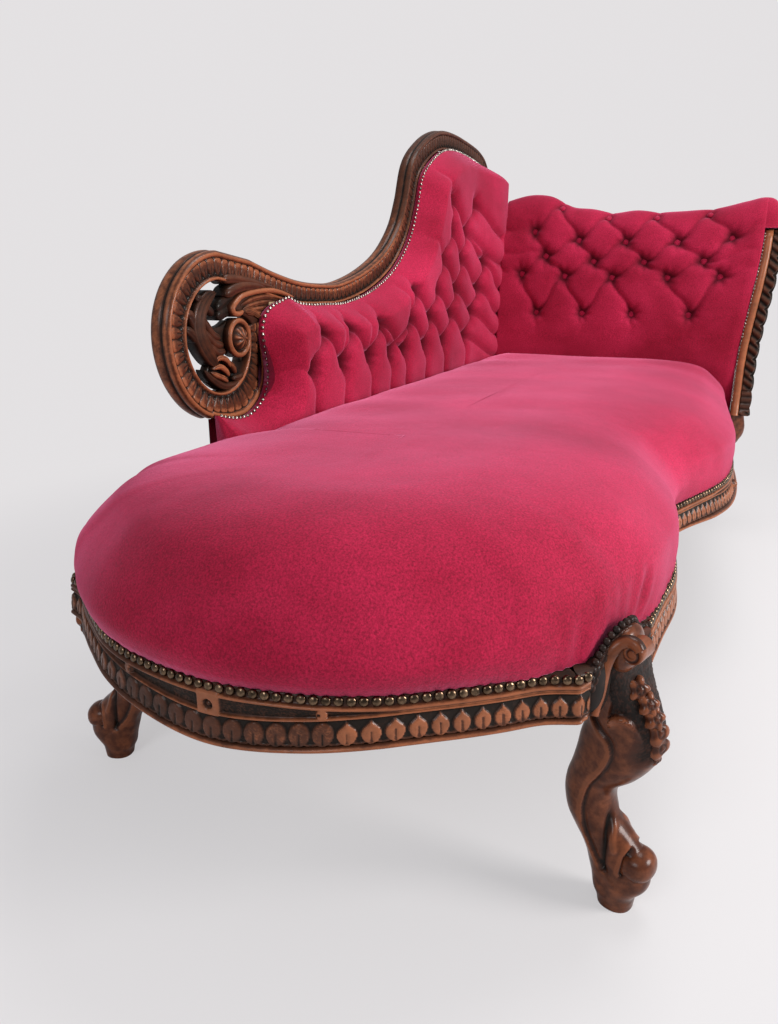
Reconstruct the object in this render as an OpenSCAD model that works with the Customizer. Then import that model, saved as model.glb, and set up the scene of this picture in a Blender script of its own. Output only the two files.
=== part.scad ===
// Victorian fainting couch with a serpentine seat, one pierced scroll in the back and a buttoned head.
// X runs from the foot (low) to the head (high), Y from the front (low) to the back, Z is up.
// The origin is the middle of the overall box, on the floor.

/* [Overall] */
// Length over all, from the middle of the foot rail to the back of the head roll
couch_l = 1808; // [1768:5:1848]
// Depth over all, from the front scroll of the head to the toe of the far leg
couch_d = 822; // [812:2:836]

/* [Seat frame] */
// Height of the top edge of the seat rails
rail_top = 300; // [280:5:320]
// Height of the carved rails
rail_h = 46; // [44:1:50]
// Thickness of the rails behind the upholstery edge
rail_t = 45; // [38:1:50]
// How far the bottom moulding stands out in front of the upholstery edge
rail_swell = 9; // [6:0.5:12]
// Extra depth of the apron in the middle of the foot rail
apron_drop = 14; // [8:1:18]
// From the foot of a foot-end leg in to the end of the foot rail
foot_rail_in = 50; // [44:1:58]
// How far the foot rail bows out beyond its ends
foot_bow = 139; // [110:1:150]
// From the foot rail's ends to the start of the side rails
foot_leg_gap = 141; // [130:1:150]
// How far the front rail starts outside the ends of the foot rail
front_rail_step = 44; // [38:1:50]
// How deep the waist of the front rail draws in
waist_in = 20; // [8:1:26]
// How far the head lobe swells out in front of the start of the front rail
lobe_out = 65; // [55:1:75]
// How much fuller and deeper the bottom moulding is on the head lobe
lobe_swell = 7; // [3:1:9]
// Diameter of the turned boss in the middle of the lobe
boss_d = 20; // [16:1:26]
// How far the boss stands out beyond the moulding
boss_out = 5; // [3:1:8]
// Start of the head leg's block, measured from the back of the head
head_block_set = 204; // [194:1:214]
// Set of the head rail's outer face in from the back of the head roll
head_rail_set = 36; // [32:1:44]
// Width of the head leg blocks along the rail
head_block_w = 168; // [160:1:172]
// Depth of the head leg blocks across the rail
head_block_d = 51; // [46:1:54]

/* [Legs] */
// How far the head's scroll stands in front of the toe of the foot-end leg
head_stand = 66; // [58:1:74]
// How far a toe reaches in front of the middle of its foot
toe_reach = 35; // [32:1:38]
// From the foot end of the couch to the foot of the foot-end legs
foot_leg_set = 234; // [226:1:242]
// Turn of the foot-end legs away from straight across
foot_leg_turn = 18; // [0:1:30]
// Half depth of the knee
knee_r = 39; // [34:1:42]
// Half width of the leg under the rail
knee_half_w = 58; // [50:1:62]
// From the front of the head upholstery back to the foot of the front head leg
head_leg_in = 100; // [92:1:108]
// How far that leg's knee is drawn out under the facing
head_knee_out = 112; // [104:1:116]
// Diameter of the flat pad under each foot
pad_d = 34; // [30:1:42]
// Height of the pad
pad_h = 18; // [12:1:24]
// Radius of the scroll at the top of each foot-end leg
scroll_r = 16; // [13:1:18]
// Width of that scroll with the leaf behind it
scroll_w = 62; // [54:1:66]
// How far the leaf rises above the rail
scroll_rise = 29; // [24:1:32]

/* [Back show frame] */
// Height of the crest
crest_z = 967; // [940:5:990]
// Width of the carved face
face_w = 41; // [36:1:46]
// Depth of the frame, front to back
frame_t = 32; // [28:1:36]
// Centre of the volute, from the foot end
volute_x = 497; // [484:1:510]
// Height of the volute's centre
volute_z = 550; // [545:1:560]
// Radius of the middle of the volute's face
volute_r = 101; // [96:1:106]
// How much the volute winds in by its end
volute_wind = 12; // [8:1:16]
// Set of the frame's front face behind the back rail's outer edge
frame_set = 30; // [26:1:34]
// Set of the frame's head end in from the back of the head roll
frame_end_set = 26; // [22:1:34]

/* [Volute carving] */
// Radius of the ring round the rosette
rosette_r = 29; // [26:1:32]
// How far the rosette stands out
rosette_h = 14; // [10:1:18]
// Thickness of the acanthus leaves
leaf_t = 20; // [14:1:26]

/* [Head] */
// Height of the top of the head roll
head_z = 790; // [780:2:810]
// Depth of the head upholstery, front face to back of the roll
head_d = 145; // [140:1:150]
// Front end of the head upholstery, from the couch's front
head_front = 56; // [54:1:60]
// Thickness of the carved facing
facing_t = 38; // [32:1:39]
// Width of the facing at its waist
facing_w = 58; // [50:1:66]
// Radius of the scroll at the top of the facing
facing_scroll_r = 36; // [30:1:40]

/* [Upholstery] */
// Height of the middle of the seat
seat_z = 440; // [425:1:455]
// How far the seat bulges over the nailed edge
seat_bulge = 13; // [8:1:16]
// Thickness of the seat cover with its wadding
cover_t = 8; // [6:1:10]
// Thickness of the back upholstery at its fullest
back_pad_t = 54; // [48:1:60]
// Depth of the buttoning
tuft_depth = 22; // [14:1:26]
// Diameter of the covered buttons
button_d = 17; // [14:1:20]

/* [Inside] */
// Width of the upright posts
post_w = 38; // [32:1:44]
// Thickness of the posts and tacking rails
post_t = 22; // [18:1:24]
// Height of the tacking rails
tack_h = 40; // [34:1:46]
// Diameter of the dowels
dowel_d = 10; // [8:0.5:12]
// Half length of the dowels
dowel_half = 17; // [15:1:18]
// How far the cloth over the springs lies below the crown of the seat
hessian_drop = 86; // [80:1:92]
// Diameter of the seat springs at their ends
spring_d = 84; // [76:1:90]
// Diameter of the seat springs at their waist
spring_waist = 52; // [44:1:60]
// Thickness of the spring wire
spring_wire = 2; // [1.5:0.5:3]
// Spacing of the springs along the seat
spring_pitch = 136; // [130:1:140]
// Width of the webbing
web_w = 50; // [44:1:54]
// Thickness of webbing, hessian and lining
cloth_t = 2.5; // [2:0.5:3]
// Size of the corner blocks along the rail
corner_w = 90; // [80:1:100]
// Thickness of the corner blocks
corner_t = 30; // [24:1:34]
// Shank diameter of the corner screws
screw_d = 5; // [4:0.5:6]
// Head diameter of the corner screws
screw_head = 10; // [9:0.5:11]
// Length of the corner screws
screw_l = 50; // [46:1:56]

/* [Hidden] */

// Clearance where a soft piece meets its neighbour
soft_gap = 0.4;
// Clearance round dowels and screws
pin_gap = 0.2;
// Overrun of every cut
over = 1;

walnut = "#6b3f27";
beech = "#c9a678";
velvet = "#a01f3c";
linen = "#b9a27c";
steel = "#8c8c90";

// Places that the whole couch is set out from
foot_x = -couch_l / 2;
head_x = couch_l / 2;
front_y = -couch_d / 2;
foot_half = (couch_d - head_stand) / 2 - toe_reach;
foot_rail_half = foot_half - foot_rail_in;
foot_axis_y = head_stand / 2;
edge_x = foot_x + seat_bulge;
rail_end_x = edge_x + foot_bow;
rail_end_dy = foot_rail_half;
side_start_x = rail_end_x + foot_leg_gap;
side_dy = foot_rail_half + front_rail_step;
back_out_y = foot_axis_y + side_dy;
back_in_y = back_out_y - rail_t;
front_start_y = foot_axis_y - side_dy;
block_x = head_x - head_block_set;
head_out_x = head_x - head_rail_set;
head_in_x = head_out_x - rail_t;
rail_low = rail_top - rail_h;
back_block_x = head_out_x - head_block_w * 0.8;
frame_y = back_out_y - frame_set;
frame_rear_y = frame_y + frame_t;
back_rear_y = frame_y - soft_gap;
vol_x = foot_x + volute_x;
head_face_x = head_x - head_d;
head_front_y = front_y + head_front;

// Curves and lofts
function mix(a, b, t) = a + (b - a) * t;
function smooth(t) = let(u = min(1, max(0, t))) u * u * (3 - 2 * u);
function bump(d, w) = exp(-(d * d) / (w * w));
function unit(v) = v / norm(v);
function normal(v) = unit([v.y, -v.x]);
function cubic(a, b, c, d, t) =
    0.5 * (2 * b + (c - a) * t + (2 * a - 5 * b + 4 * c - d) * t * t + (3 * b - a - 3 * c + d) * t * t * t);
function curve(p, n) = let(m = len(p) - 1) concat(
    [for (i = [0:m - 1], k = [0:n - 1])
        cubic(p[max(0, i - 1)], p[i], p[i + 1], p[min(m, i + 2)], k / n)],
    [p[m]]);
function loop_curve(p, n) = let(m = len(p))
    [for (i = [0:m - 1], k = [0:n - 1])
        cubic(p[(i + m - 1) % m], p[i], p[(i + 1) % m], p[(i + 2) % m], k / n)];
function along(p, i) = let(m = len(p) - 1) p[min(m, i + 1)] - p[max(0, i - 1)];
function loop_along(p, i) = let(m = len(p)) p[(i + 1) % m] - p[(i + m - 1) % m];

// A solid through a row of rings that all have the same count of points
module skin(rings) {
    n = len(rings[0]);
    m = len(rings);
    polyhedron(
        points = [for (r = rings) each r],
        faces = concat(
            [[for (j = [0:n - 1]) j]],
            [[for (j = [n - 1:-1:0]) (m - 1) * n + j]],
            [for (i = [0:m - 2], j = [0:n - 1]) let(k = (j + 1) % n)
                each [[i * n + j, (i + 1) * n + j, (i + 1) * n + k], [i * n + j, (i + 1) * n + k, i * n + k]]]),
        convexity = 10);
}

// Carved rail section: distance out from the upholstery edge as a share of the swell,
// height down from the top as a share of the rail, and the share of the apron's drop
rail_shares = [
    [0, 0, 0], [0, 0.16, 0], [0.5, 0.2, 0], [0.5, 0.27, 0], [0.1, 0.31, 0], [0.3, 0.46, 0],
    [0.75, 0.5, 0.3], [0.5, 0.56, 0.5], [0.95, 0.92, 1], [1, 1, 1]
];
rail_back_share = 0.3;
function rail_section(drop, extra) = concat(
    [for (q = rail_shares) [q.x * (rail_swell + extra), rail_top - q.y * rail_h - q.z * drop]],
    [[-rail_back_share * rail_t, rail_low - drop], [-rail_back_share * rail_t - rail_swell, rail_low],
     [-rail_t, rail_low], [-rail_t, rail_top]]);
function rail_ring(p, n, drop, extra) =
    [for (q = rail_section(drop, extra)) [p.x + n.x * q.x, p.y + n.y * q.x, q.y]];

// Plan of the foot rail: shares of the half width and of the bow
foot_plan_shares = [[0, 0], [0.28, 0.085], [0.49, 0.25], [0.66, 0.49], [0.79, 0.7], [0.9, 0.9], [1, 1]];
foot_half_line = curve([for (q = foot_plan_shares) [edge_x + q.y * foot_bow, foot_axis_y + q.x * rail_end_dy]], 2);
foot_line = concat(
    [for (i = [len(foot_half_line) - 1:-1:1]) foot_half_line[i]],
    [for (q = foot_half_line) [q.x, 2 * foot_axis_y - q.y]]);
foot_count = len(foot_line);

// Plan of the front rail: shares of its length, of the lobe's swell and of the waist's depth
front_len = block_x - side_start_x;
front_plan_shares = [
    [0, 0, 0], [0.05, 0.07, 0], [0.105, 0.17, 0], [0.15, 0.14, 0], [0.2, 0, 0], [0.25, 0, 0.65], [0.298, 0, 1],
    [0.335, 0, 0.7], [0.37, 0.02, 0], [0.41, 0.31, 0], [0.46, 0.66, 0], [0.52, 0.92, 0], [0.6, 1, 0], [0.7, 0.92, 0],
    [0.83, 0.71, 0], [1, 0.52, 0]
];
front_line = curve([for (q = front_plan_shares)
    [side_start_x + q.x * front_len, front_start_y - q.y * lobe_out + q.z * waist_in]], 2);
function lobe_at(x) = let(t = (x - side_start_x) / front_len) smooth((t - 0.36) / 0.1) * smooth((1 - t) / 0.3);
front_end = front_line[len(front_line) - 1];
front_inner = [for (q = front_line) [q.x, q.y + rail_t]];

module foot_rail() {
    color(walnut) difference() {
        skin([for (i = [0:foot_count - 1])
            let(mid = 2 * abs(i / (foot_count - 1) - 0.5),
                n = i == 0 || i == foot_count - 1 ? [-1, 0] : -normal(-along(foot_line, i)))
            rail_ring(foot_line[i], n, apron_drop * (1 - smooth(mid * 1.8)), 0)]);
        dowel_cuts();
        screw_cuts();
    }
}

module front_rail() {
    last = len(front_line) - 1;
    color(walnut) difference() {
        union() {
            skin([for (i = [0:last]) let(
                full = lobe_swell * lobe_at(front_line[i].x),
                n = i == 0 || i == last ? [0, -1] : normal(along(front_line, i)))
                rail_ring(front_line[i], n, full * 0.6, full)]);
            front_boss();
        }
        dowel_cuts();
        screw_cuts();
    }
}

// Turned boss in the middle of the head lobe: shares of its radius and of its reach
boss_share = 0.575;
boss_shares = [[0, 0], [1, 0], [1, 0.72], [0.55, 0.93], [0, 1]];
module front_boss() {
    x = side_start_x + boss_share * front_len;
    reach = rail_swell + lobe_swell + boss_out;
    translate([x, lookup(x, front_line), rail_top - rail_h * 0.68]) rotate([90, 0, 0]) rotate_extrude($fn = 24)
        polygon([for (q = boss_shares) [q.x * boss_d / 2, q.y * reach]]);
}

// Straight rails have the same height and thickness, with a plain moulded face
plain_shares = [[0, 1], [0.4, 0.94], [0.4, 0.5], [0.9, 0.42], [0.9, 0.05], [0.5, 0]];
function plain_section() = concat(
    [[-rail_t, 0], [-rail_t, rail_h]],
    [for (q = plain_shares) [q.x * rail_swell, q.y * rail_h]]);

module back_rail() {
    color(walnut) difference() {
        translate([side_start_x, back_out_y, rail_low]) rotate([90, 0, 90])
            linear_extrude(back_block_x - side_start_x) polygon(plain_section());
        dowel_cuts();
        screw_cuts();
    }
}

head_rail_y0 = front_end.y + head_block_d;
back_block_d = head_block_d * 1.25;
head_rail_y1 = back_out_y - back_block_d;
module head_rail() {
    color(walnut) difference() {
        translate([head_out_x, head_rail_y0, rail_low]) rotate([90, 0, 0]) mirror([0, 0, 1])
            linear_extrude(head_rail_y1 - head_rail_y0) polygon(plain_section());
        dowel_cuts();
        screw_cuts();
    }
}

// Cabriole leg: height share, middle of the section as a share of the knee's depth,
// half depth as a share of the knee's depth, half width as a share of the knee's width
leg_shares = [
    [0.06, -0.2, 0.58, 0.33], [0.11, -0.09, 0.82, 0.45], [0.16, -0.11, 0.93, 0.52], [0.2, -0.17, 0.97, 0.53],
    [0.24, -0.36, 0.98, 0.5], [0.28, -0.62, 0.9, 0.46], [0.33, -0.95, 0.76, 0.4], [0.4, -1.13, 0.69, 0.37],
    [0.46, -1.08, 0.71, 0.38], [0.52, -0.78, 0.88, 0.45], [0.58, -0.56, 1, 0.5], [0.65, -0.39, 1.08, 0.52],
    [0.72, -0.3, 1, 0.52], [0.79, -0.36, 0.84, 0.5], [0.87, -0.5, 0.64, 0.48], [1, -0.6, 0.48, 0.46]
];
leg_points = 16;
ridge_share = 0.12;
leg_square = 0.9;
function leg_ring(q, out) = let(
    z = q[0] * rail_top,
    c = q[1] * knee_r + out * smooth((q[0] - 0.4) / 0.5),
    a = q[2] * knee_r + out * 0.25 * smooth((q[0] - 0.55) / 0.4),
    b = q[3] * knee_half_w)
    [for (k = [0:leg_points - 1]) let(
        t = k * 360 / leg_points,
        cs = cos(t),
        sn = sin(t),
        full = 1 / pow(pow(abs(cs), 2 / leg_square) + pow(abs(sn), 2 / leg_square), leg_square / 2),
        ridge = 1 + ridge_share * pow(max(0, cs), 4) * (1 - q[0]))
        [c + a * cs * full * ridge, b * sn * full, z]];

module leg_body(out) {
    skin([for (q = leg_shares) leg_ring(q, out)]);
    translate([leg_shares[0][1] * knee_r * 0.6, 0, 0]) cylinder(d = pad_d, h = pad_h + over, $fn = 32);
}

// The scroll at the top of a foot-end leg and the leaf behind it, which rises over the upholstery's edge:
// shares of the scroll's width and of the leaf's rise
leaf_top_shares = [[-0.46, -0.4], [-0.46, 0.45], [-0.2, 0.9], [0.04, 1], [0.26, 0.72], [0.4, 0.2], [0.42, -0.4]];
leaf_in = 18;
module leg_scroll() {
    translate([-scroll_r / 2, -scroll_w * 0.08, rail_top + scroll_rise * 0.62 - scroll_r]) rotate([90, 0, 0])
        cylinder(r = scroll_r, h = scroll_w * 0.56, $fn = 32);
    translate([-leaf_in, 0, rail_top]) rotate([90, 0, 90]) linear_extrude(leaf_in - pin_gap)
        polygon([for (q = leaf_top_shares) [q.x * scroll_w, q.y * scroll_rise]]);
}

foot_leg_x = foot_x + foot_leg_set;
block_share = 0.3;
block_out = 8;
module foot_leg(side) {
    turn = side * (90 + foot_leg_turn);
    leg_y = foot_axis_y + side * foot_half;
    difference() {
        union() {
            translate([foot_leg_x, leg_y, 0]) rotate([0, 0, turn]) {
                leg_body(0);
                leg_scroll();
            }
            translate([0, 0, rail_low]) linear_extrude(rail_h) polygon([
                [rail_end_x, foot_axis_y + side * rail_end_dy],
                [rail_end_x + rail_t, foot_axis_y + side * rail_end_dy],
                [side_start_x, foot_axis_y + side * (side_dy - rail_t)],
                [side_start_x, foot_axis_y + side * side_dy],
                [side_start_x - block_share * foot_leg_gap,
                    foot_axis_y + side * (mix(side_dy, rail_end_dy, block_share) + block_out)],
                [rail_end_x + block_share * foot_leg_gap,
                    foot_axis_y + side * (mix(rail_end_dy, side_dy, block_share) + block_out)]
            ]);
        }
        dowel_cuts();
        screw_cuts();
    }
}

module leg_foot_front() {
    color(walnut) foot_leg(-1);
}

module leg_foot_back() {
    color(walnut) foot_leg(1);
}

head_leg_x = block_x + head_block_w * 0.42;
head_leg_y = head_front_y + head_leg_in;
head_leg_turn = 12;
module leg_head_front() {
    color(walnut) difference() {
        union() {
            translate([head_leg_x, head_leg_y, 0]) rotate([0, 0, -90 + head_leg_turn]) leg_body(head_knee_out);
            translate([block_x, front_end.y, rail_low]) cube([head_block_w, head_block_d, rail_h]);
        }
        dowel_cuts();
        screw_cuts();
    }
}

back_leg_x = mix(back_block_x, head_out_x, 0.5);
back_leg_y = back_out_y - toe_reach / 2;
module leg_head_back() {
    color(walnut) difference() {
        union() {
            translate([back_leg_x, back_leg_y, 0]) rotate([0, 0, 90]) leg_body(0);
            translate([back_block_x, back_out_y - back_block_d, rail_low])
                cube([head_out_x - back_block_x, back_block_d, rail_h]);
        }
        dowel_cuts();
        screw_cuts();
    }
}

// Where each dowel crosses a joint: place and whether it runs along X. Those of the foot rail sit
// further into the rail than into the leg's block, which tapers away from the joint
dowel_in = rail_t * 0.55;
dowel_shift = 8;
dowel_places = [
    [rail_end_x + rail_t * 0.62, foot_axis_y - rail_end_dy + dowel_shift, false],
    [rail_end_x + rail_t * 0.62, foot_axis_y + rail_end_dy - dowel_shift, false],
    [side_start_x, front_start_y + dowel_in, true],
    [side_start_x, back_out_y - dowel_in, true],
    [block_x, front_end.y + dowel_in, true],
    [head_out_x - dowel_in, head_rail_y0, false],
    [back_block_x, back_out_y - dowel_in, true],
    [head_out_x - dowel_in, head_rail_y1, false]
];
dowel_z_shares = [0.3, 0.7];
module dowel_set(d, half) {
    for (p = dowel_places, s = dowel_z_shares)
        translate([p[0], p[1], rail_low + s * rail_h]) rotate(p[2] ? [0, 90, 0] : [90, 0, 0])
            cylinder(d = d, h = 2 * half, center = true, $fn = 24);
}
module dowel_cuts() {
    dowel_set(dowel_d + 2 * pin_gap, dowel_half + pin_gap);
}
module rail_dowels() {
    color(beech) dowel_set(dowel_d, dowel_half);
}

// Corner blocks: the inner corner of each pair of rails and the directions along them
corner_z = rail_low + (rail_h - corner_t) / 2;
corner_places = [
    [rail_end_x + rail_t, foot_axis_y - side_dy + rail_t, 0],
    [rail_end_x + rail_t, foot_axis_y + side_dy - rail_t, 270],
    [head_in_x, head_rail_y1, 180],
    [head_in_x, head_rail_y0, 90]
];
corner_nose = 18;
module at_corner(p) {
    translate([p[0], p[1], corner_z]) rotate([0, 0, p[2]]) children();
}
module screw_cuts() {
    for (p = corner_places) at_corner(p) corner_screw_pair(screw_d + 2 * pin_gap, screw_head + 2 * pin_gap);
}
screw_at_share = 0.68;
module corner_screw(d, head) {
    cylinder(d = d, h = screw_l, $fn = 24);
    cylinder(d1 = head, d2 = d, h = (head - d) / 2, $fn = 24);
}
module corner_screw_pair(d, head) {
    a = corner_w * screw_at_share;
    b = corner_w - a;
    translate([a, b, corner_t / 2]) rotate([90, 0, 0]) corner_screw(d, head);
    translate([b, a, corner_t / 2]) rotate([0, -90, 0]) corner_screw(d, head);
}
module corner_blocks() {
    color(beech) for (p = corner_places) at_corner(p) difference() {
        linear_extrude(corner_t) polygon([
            [corner_nose, 0], [corner_w, 0], [corner_w, corner_nose * 0.4],
            [corner_nose * 0.4, corner_w], [0, corner_w], [0, corner_nose]]);
        corner_screw_pair(screw_d + 2 * pin_gap, screw_head + 2 * pin_gap);
    }
}
module corner_screws() {
    color(steel) for (p = corner_places) at_corner(p) corner_screw_pair(screw_d, screw_head);
}

// Springs stand in rows between the two cross rails
spring_x0 = rail_end_x + rail_t + spring_d * 0.4;
spring_count = floor((block_x - spring_d * 0.4 - spring_x0) / spring_pitch) + 1;
spring_rows = [-1, 0, 1];
spring_row_share = 0.49;
spring_row = side_dy * spring_row_share;
spring_y0 = foot_axis_y - rail_swell;
web_top = rail_low - soft_gap;
hessian_z = seat_z - hessian_drop;
cross_after = [3, 7];
cross_w = 34;
cross_h = 28;
module cross_rails() {
    color(beech) for (k = cross_after) let(
        x = spring_x0 + (k + 0.5) * spring_pitch,
        y0 = max(lookup(x - cross_w / 2, front_inner), lookup(x + cross_w / 2, front_inner)) + soft_gap)
        translate([x - cross_w / 2, y0, rail_top - cross_h]) cube([cross_w, back_in_y - y0, cross_h]);
}

module seat_springs() {
    color(steel) for (i = [0:spring_count - 1], r = spring_rows)
        translate([spring_x0 + i * spring_pitch, spring_y0 + r * spring_row, rail_low]) {
            h = hessian_z - rail_low - soft_gap;
            end = spring_d / 2;
            waist = spring_waist / 2;
            rotate_extrude($fn = 24) polygon([[end - spring_wire, 0], [end, 0], [waist, h / 2], [end, h],
                [end - spring_wire, h], [waist - spring_wire, h / 2]]);
        }
}

// Outline of the seat at the nailed edge, with a share that is 1 where it stands against the back or the head
seat_back_y = back_rear_y - back_pad_t - soft_gap;
back_left_x = vol_x - 0.45 * volute_r;
seat_head_x = head_face_x - soft_gap * 2;
corner_push = 26;
leg_line_shares = [0.37, 0.68];
leg_clear = 6;
seat_plan = concat(
    [for (i = [2:2:foot_count - 3]) [foot_line[i].x, foot_line[i].y, 0]],
    [for (t = leg_line_shares) [mix(rail_end_x, side_start_x, t), foot_axis_y - mix(rail_end_dy, side_dy, t) + leg_clear, 0]],
    [for (i = [1:2:len(front_line) - 1]) [front_line[i].x, front_line[i].y, 0]],
    [[seat_head_x - corner_push, front_end.y + corner_push / 4, 0.3],
     [seat_head_x, front_end.y + 2 * corner_push, 1],
     [seat_head_x, mix(front_end.y, seat_back_y, 0.5), 1],
     [seat_head_x, seat_back_y - corner_push, 1]],
    [for (t = [0.98, 0.8, 0.6, 0.4, 0.2, 0]) [mix(back_left_x, seat_head_x, t), seat_back_y, 1]],
    [[back_left_x - corner_push * 0.7, mix(seat_back_y, back_out_y, 0.45), 0.3],
     [back_left_x - corner_push * 2, back_out_y - rail_swell, 0],
     [side_start_x, back_out_y, 0]],
    [for (t = [leg_line_shares[1], leg_line_shares[0]])
        [mix(rail_end_x, side_start_x, t), foot_axis_y + mix(rail_end_dy, side_dy, t) - leg_clear, 0]]);
seat_loop = loop_curve(seat_plan, 1);
seat_count = len(seat_loop);
spine_in = 250;
spine_y = foot_axis_y - rail_swell * 2;
function spine(p) = [min(seat_head_x - spine_in, max(edge_x + spine_in, p.x)), spine_y];

// Rings of the seat: distance out from the edge as a share of the bulge, share of the way in to the
// middle, and share of the height from the rail to the crown
seat_shares = [
    [0, 0, 0], [0.75, 0, 0.1], [1, 0, 0.24], [0.2, 0.01, 0.44], [0, 0.085, 0.63], [0, 0.18, 0.79],
    [0, 0.34, 0.91], [0, 0.56, 0.98], [0, 0.9, 1]
];
// The bulge is full in the middle of the foot and at the waist, and nearly flat at the legs and the lobe
flat_bulge_share = 0.15;
function bulge_at(p) = let(
    foot = p.x < side_start_x ? smooth((0.75 - abs(p.y - foot_axis_y) / rail_end_dy) / 0.35) : 0,
    waist = p.y < 0 ? bump((p.x - side_start_x) / front_len - 0.3, 0.08) : 0)
    mix(flat_bulge_share, 1, max(foot, waist));
function seat_ring(q, shrink) = [for (i = [0:seat_count - 1]) let(
    p = [seat_loop[i].x, seat_loop[i].y],
    wall = seat_loop[i].z,
    d = loop_along(seat_loop, i),
    n = normal([d.x, d.y]),
    out = q.x * seat_bulge * (1 - wall) * bulge_at(p) - shrink * (1 - wall * 0.9),
    c = spine(p),
    way = q.y * (1 - 0.35 * wall),
    rise = mix(q.z, 1 - (1 - q.z) * (1 - q.z), 0.5 * wall),
    z = rail_top + soft_gap + (seat_z - rail_top - soft_gap) * rise - shrink * q.z)
    [mix(p.x, c.x, way) + n.x * out, mix(p.y, c.y, way) + n.y * out, z]];

module seat_cover() {
    color(velvet) skin(concat(
        [for (k = [len(seat_shares) - 1:-1:0]) seat_ring(seat_shares[k], cover_t)],
        [for (q = seat_shares) seat_ring(q, 0)]));
}

module seat_stuffing() {
    gap = cover_t + 5 * soft_gap;
    low = (hessian_z + cloth_t + soft_gap - rail_top) / (seat_z - rail_top);
    color(linen) skin(concat(
        [[for (p = seat_ring([0, 0.07, low], gap + seat_bulge)) [p.x, p.y, hessian_z + cloth_t + soft_gap]]],
        [for (k = [4:len(seat_shares) - 1]) seat_ring(seat_shares[k], gap)]));
}

// Outline of the frame at the rails' outer faces, and the tops of the legs that its cloths are cut round
frame_plan = concat(
    foot_line,
    [for (i = [0:2:len(front_line) - 1]) front_line[i]],
    [[head_out_x, front_end.y], [head_out_x, back_out_y], [side_start_x, back_out_y]]);
knee_share = 0.55;
cut_r = knee_r * 1.55;
leg_spots = [
    [foot_leg_x + knee_share * knee_r * sin(foot_leg_turn), foot_axis_y - foot_half + knee_share * knee_r],
    [foot_leg_x + knee_share * knee_r * sin(foot_leg_turn), foot_axis_y + foot_half - knee_share * knee_r],
    [head_leg_x + cut_r / 2, head_leg_y - head_knee_out * 0.8],
    [back_leg_x, back_leg_y - knee_share * knee_r]
];
module frame_flat(inset, h) {
    linear_extrude(h) difference() {
        polygon([for (i = [0:len(frame_plan) - 1]) frame_plan[i] - normal(loop_along(frame_plan, i)) * inset]);
        for (p = leg_spots) translate(p) circle(r = cut_r, $fn = 32);
    }
}

// The cloth over the springs follows the seat's outline, drawn in half as far where the seat has a wall behind it
module seat_flat(inset, h) {
    linear_extrude(h) polygon([for (i = [0:seat_count - 1]) let(
        d = loop_along(seat_loop, i),
        n = normal([d.x, d.y]) * (1 - seat_loop[i].z / 2))
        [seat_loop[i].x - n.x * inset, seat_loop[i].y - n.y * inset]]);
}

module spring_hessian() {
    color(linen) translate([0, 0, hessian_z]) seat_flat(rail_t * 0.75, cloth_t);
}

module seat_webbing() {
    color(linen) {
        translate([0, 0, web_top - cloth_t]) intersection() {
            frame_flat(rail_t * 0.65, cloth_t);
            for (i = [0:spring_count - 1])
                translate([spring_x0 + i * spring_pitch - web_w / 2, -couch_d, 0]) cube([web_w, 2 * couch_d, cloth_t]);
        }
        translate([0, 0, web_top - 2 * cloth_t]) intersection() {
            frame_flat(rail_t * 0.65, cloth_t);
            for (r = spring_rows)
                translate([-couch_l, spring_y0 + r * spring_row - web_w / 2, 0]) cube([2 * couch_l, web_w, cloth_t]);
        }
    }
}

module dust_cover() {
    color("#2b2b2b") translate([0, 0, web_top - 3 * cloth_t - soft_gap]) frame_flat(rail_t * 0.6, cloth_t);
}

// Line of the back's show frame: shares of the way from the volute to the head corner,
// and of the height from the volute's top to the crest
frame_end_x = head_x - frame_end_set;
frame_run = frame_end_x - vol_x;
volute_top = volute_z + volute_r;
crest_rise = crest_z - face_w / 2 - volute_top;
frame_shares = [
    [1, 0.74], [0.985, 0.88], [0.94, 0.955], [0.86, 0.99], [0.77, 1], [0.7, 0.965], [0.635, 0.855], [0.585, 0.7],
    [0.558, 0.45], [0.525, 0.24], [0.465, 0.05], [0.385, -0.08], [0.3, -0.15], [0.238, -0.155], [0.175, -0.14],
    [0.115, -0.095], [0.06, -0.035]
];
frame_sweep_line = curve([for (q = frame_shares) [vol_x + q.x * frame_run, volute_top + q.y * crest_rise]], 3);
volute_turn = 280;
volute_steps = 26;
volute_line = [for (k = [0:volute_steps]) let(
    t = k / volute_steps,
    a = 90 + volute_turn * t,
    r = volute_r - volute_wind * smooth((t - 0.55) / 0.45))
    [vol_x + r * cos(a), volute_z + r * sin(a)]];
// Stile that stands on the back leg's block and carries the end of the crest
stile_shares = [[0.967, 0], [0.967, 0.3], [0.985, 0.62], [0.997, 0.86]];
stile_top = frame_sweep_line[0].y;
stile_line = [for (q = stile_shares)
    [vol_x + q.x * frame_run, rail_top + soft_gap + q.y * (stile_top - rail_top - soft_gap)]];
frame_line = concat(stile_line, frame_sweep_line, volute_line);
frame_last = len(frame_line) - 1;

// Width of the face along the frame: full on the slope and the crest, slim in the dip
dip_share = 0.86;
slope_share = 1.1;
function face_at(p) = let(t = (p.x - vol_x) / frame_run)
    face_w * (1 + (slope_share - 1) * bump(t - 0.56, 0.12) - (1 - dip_share) * bump(t - 0.26, 0.1));

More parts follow.
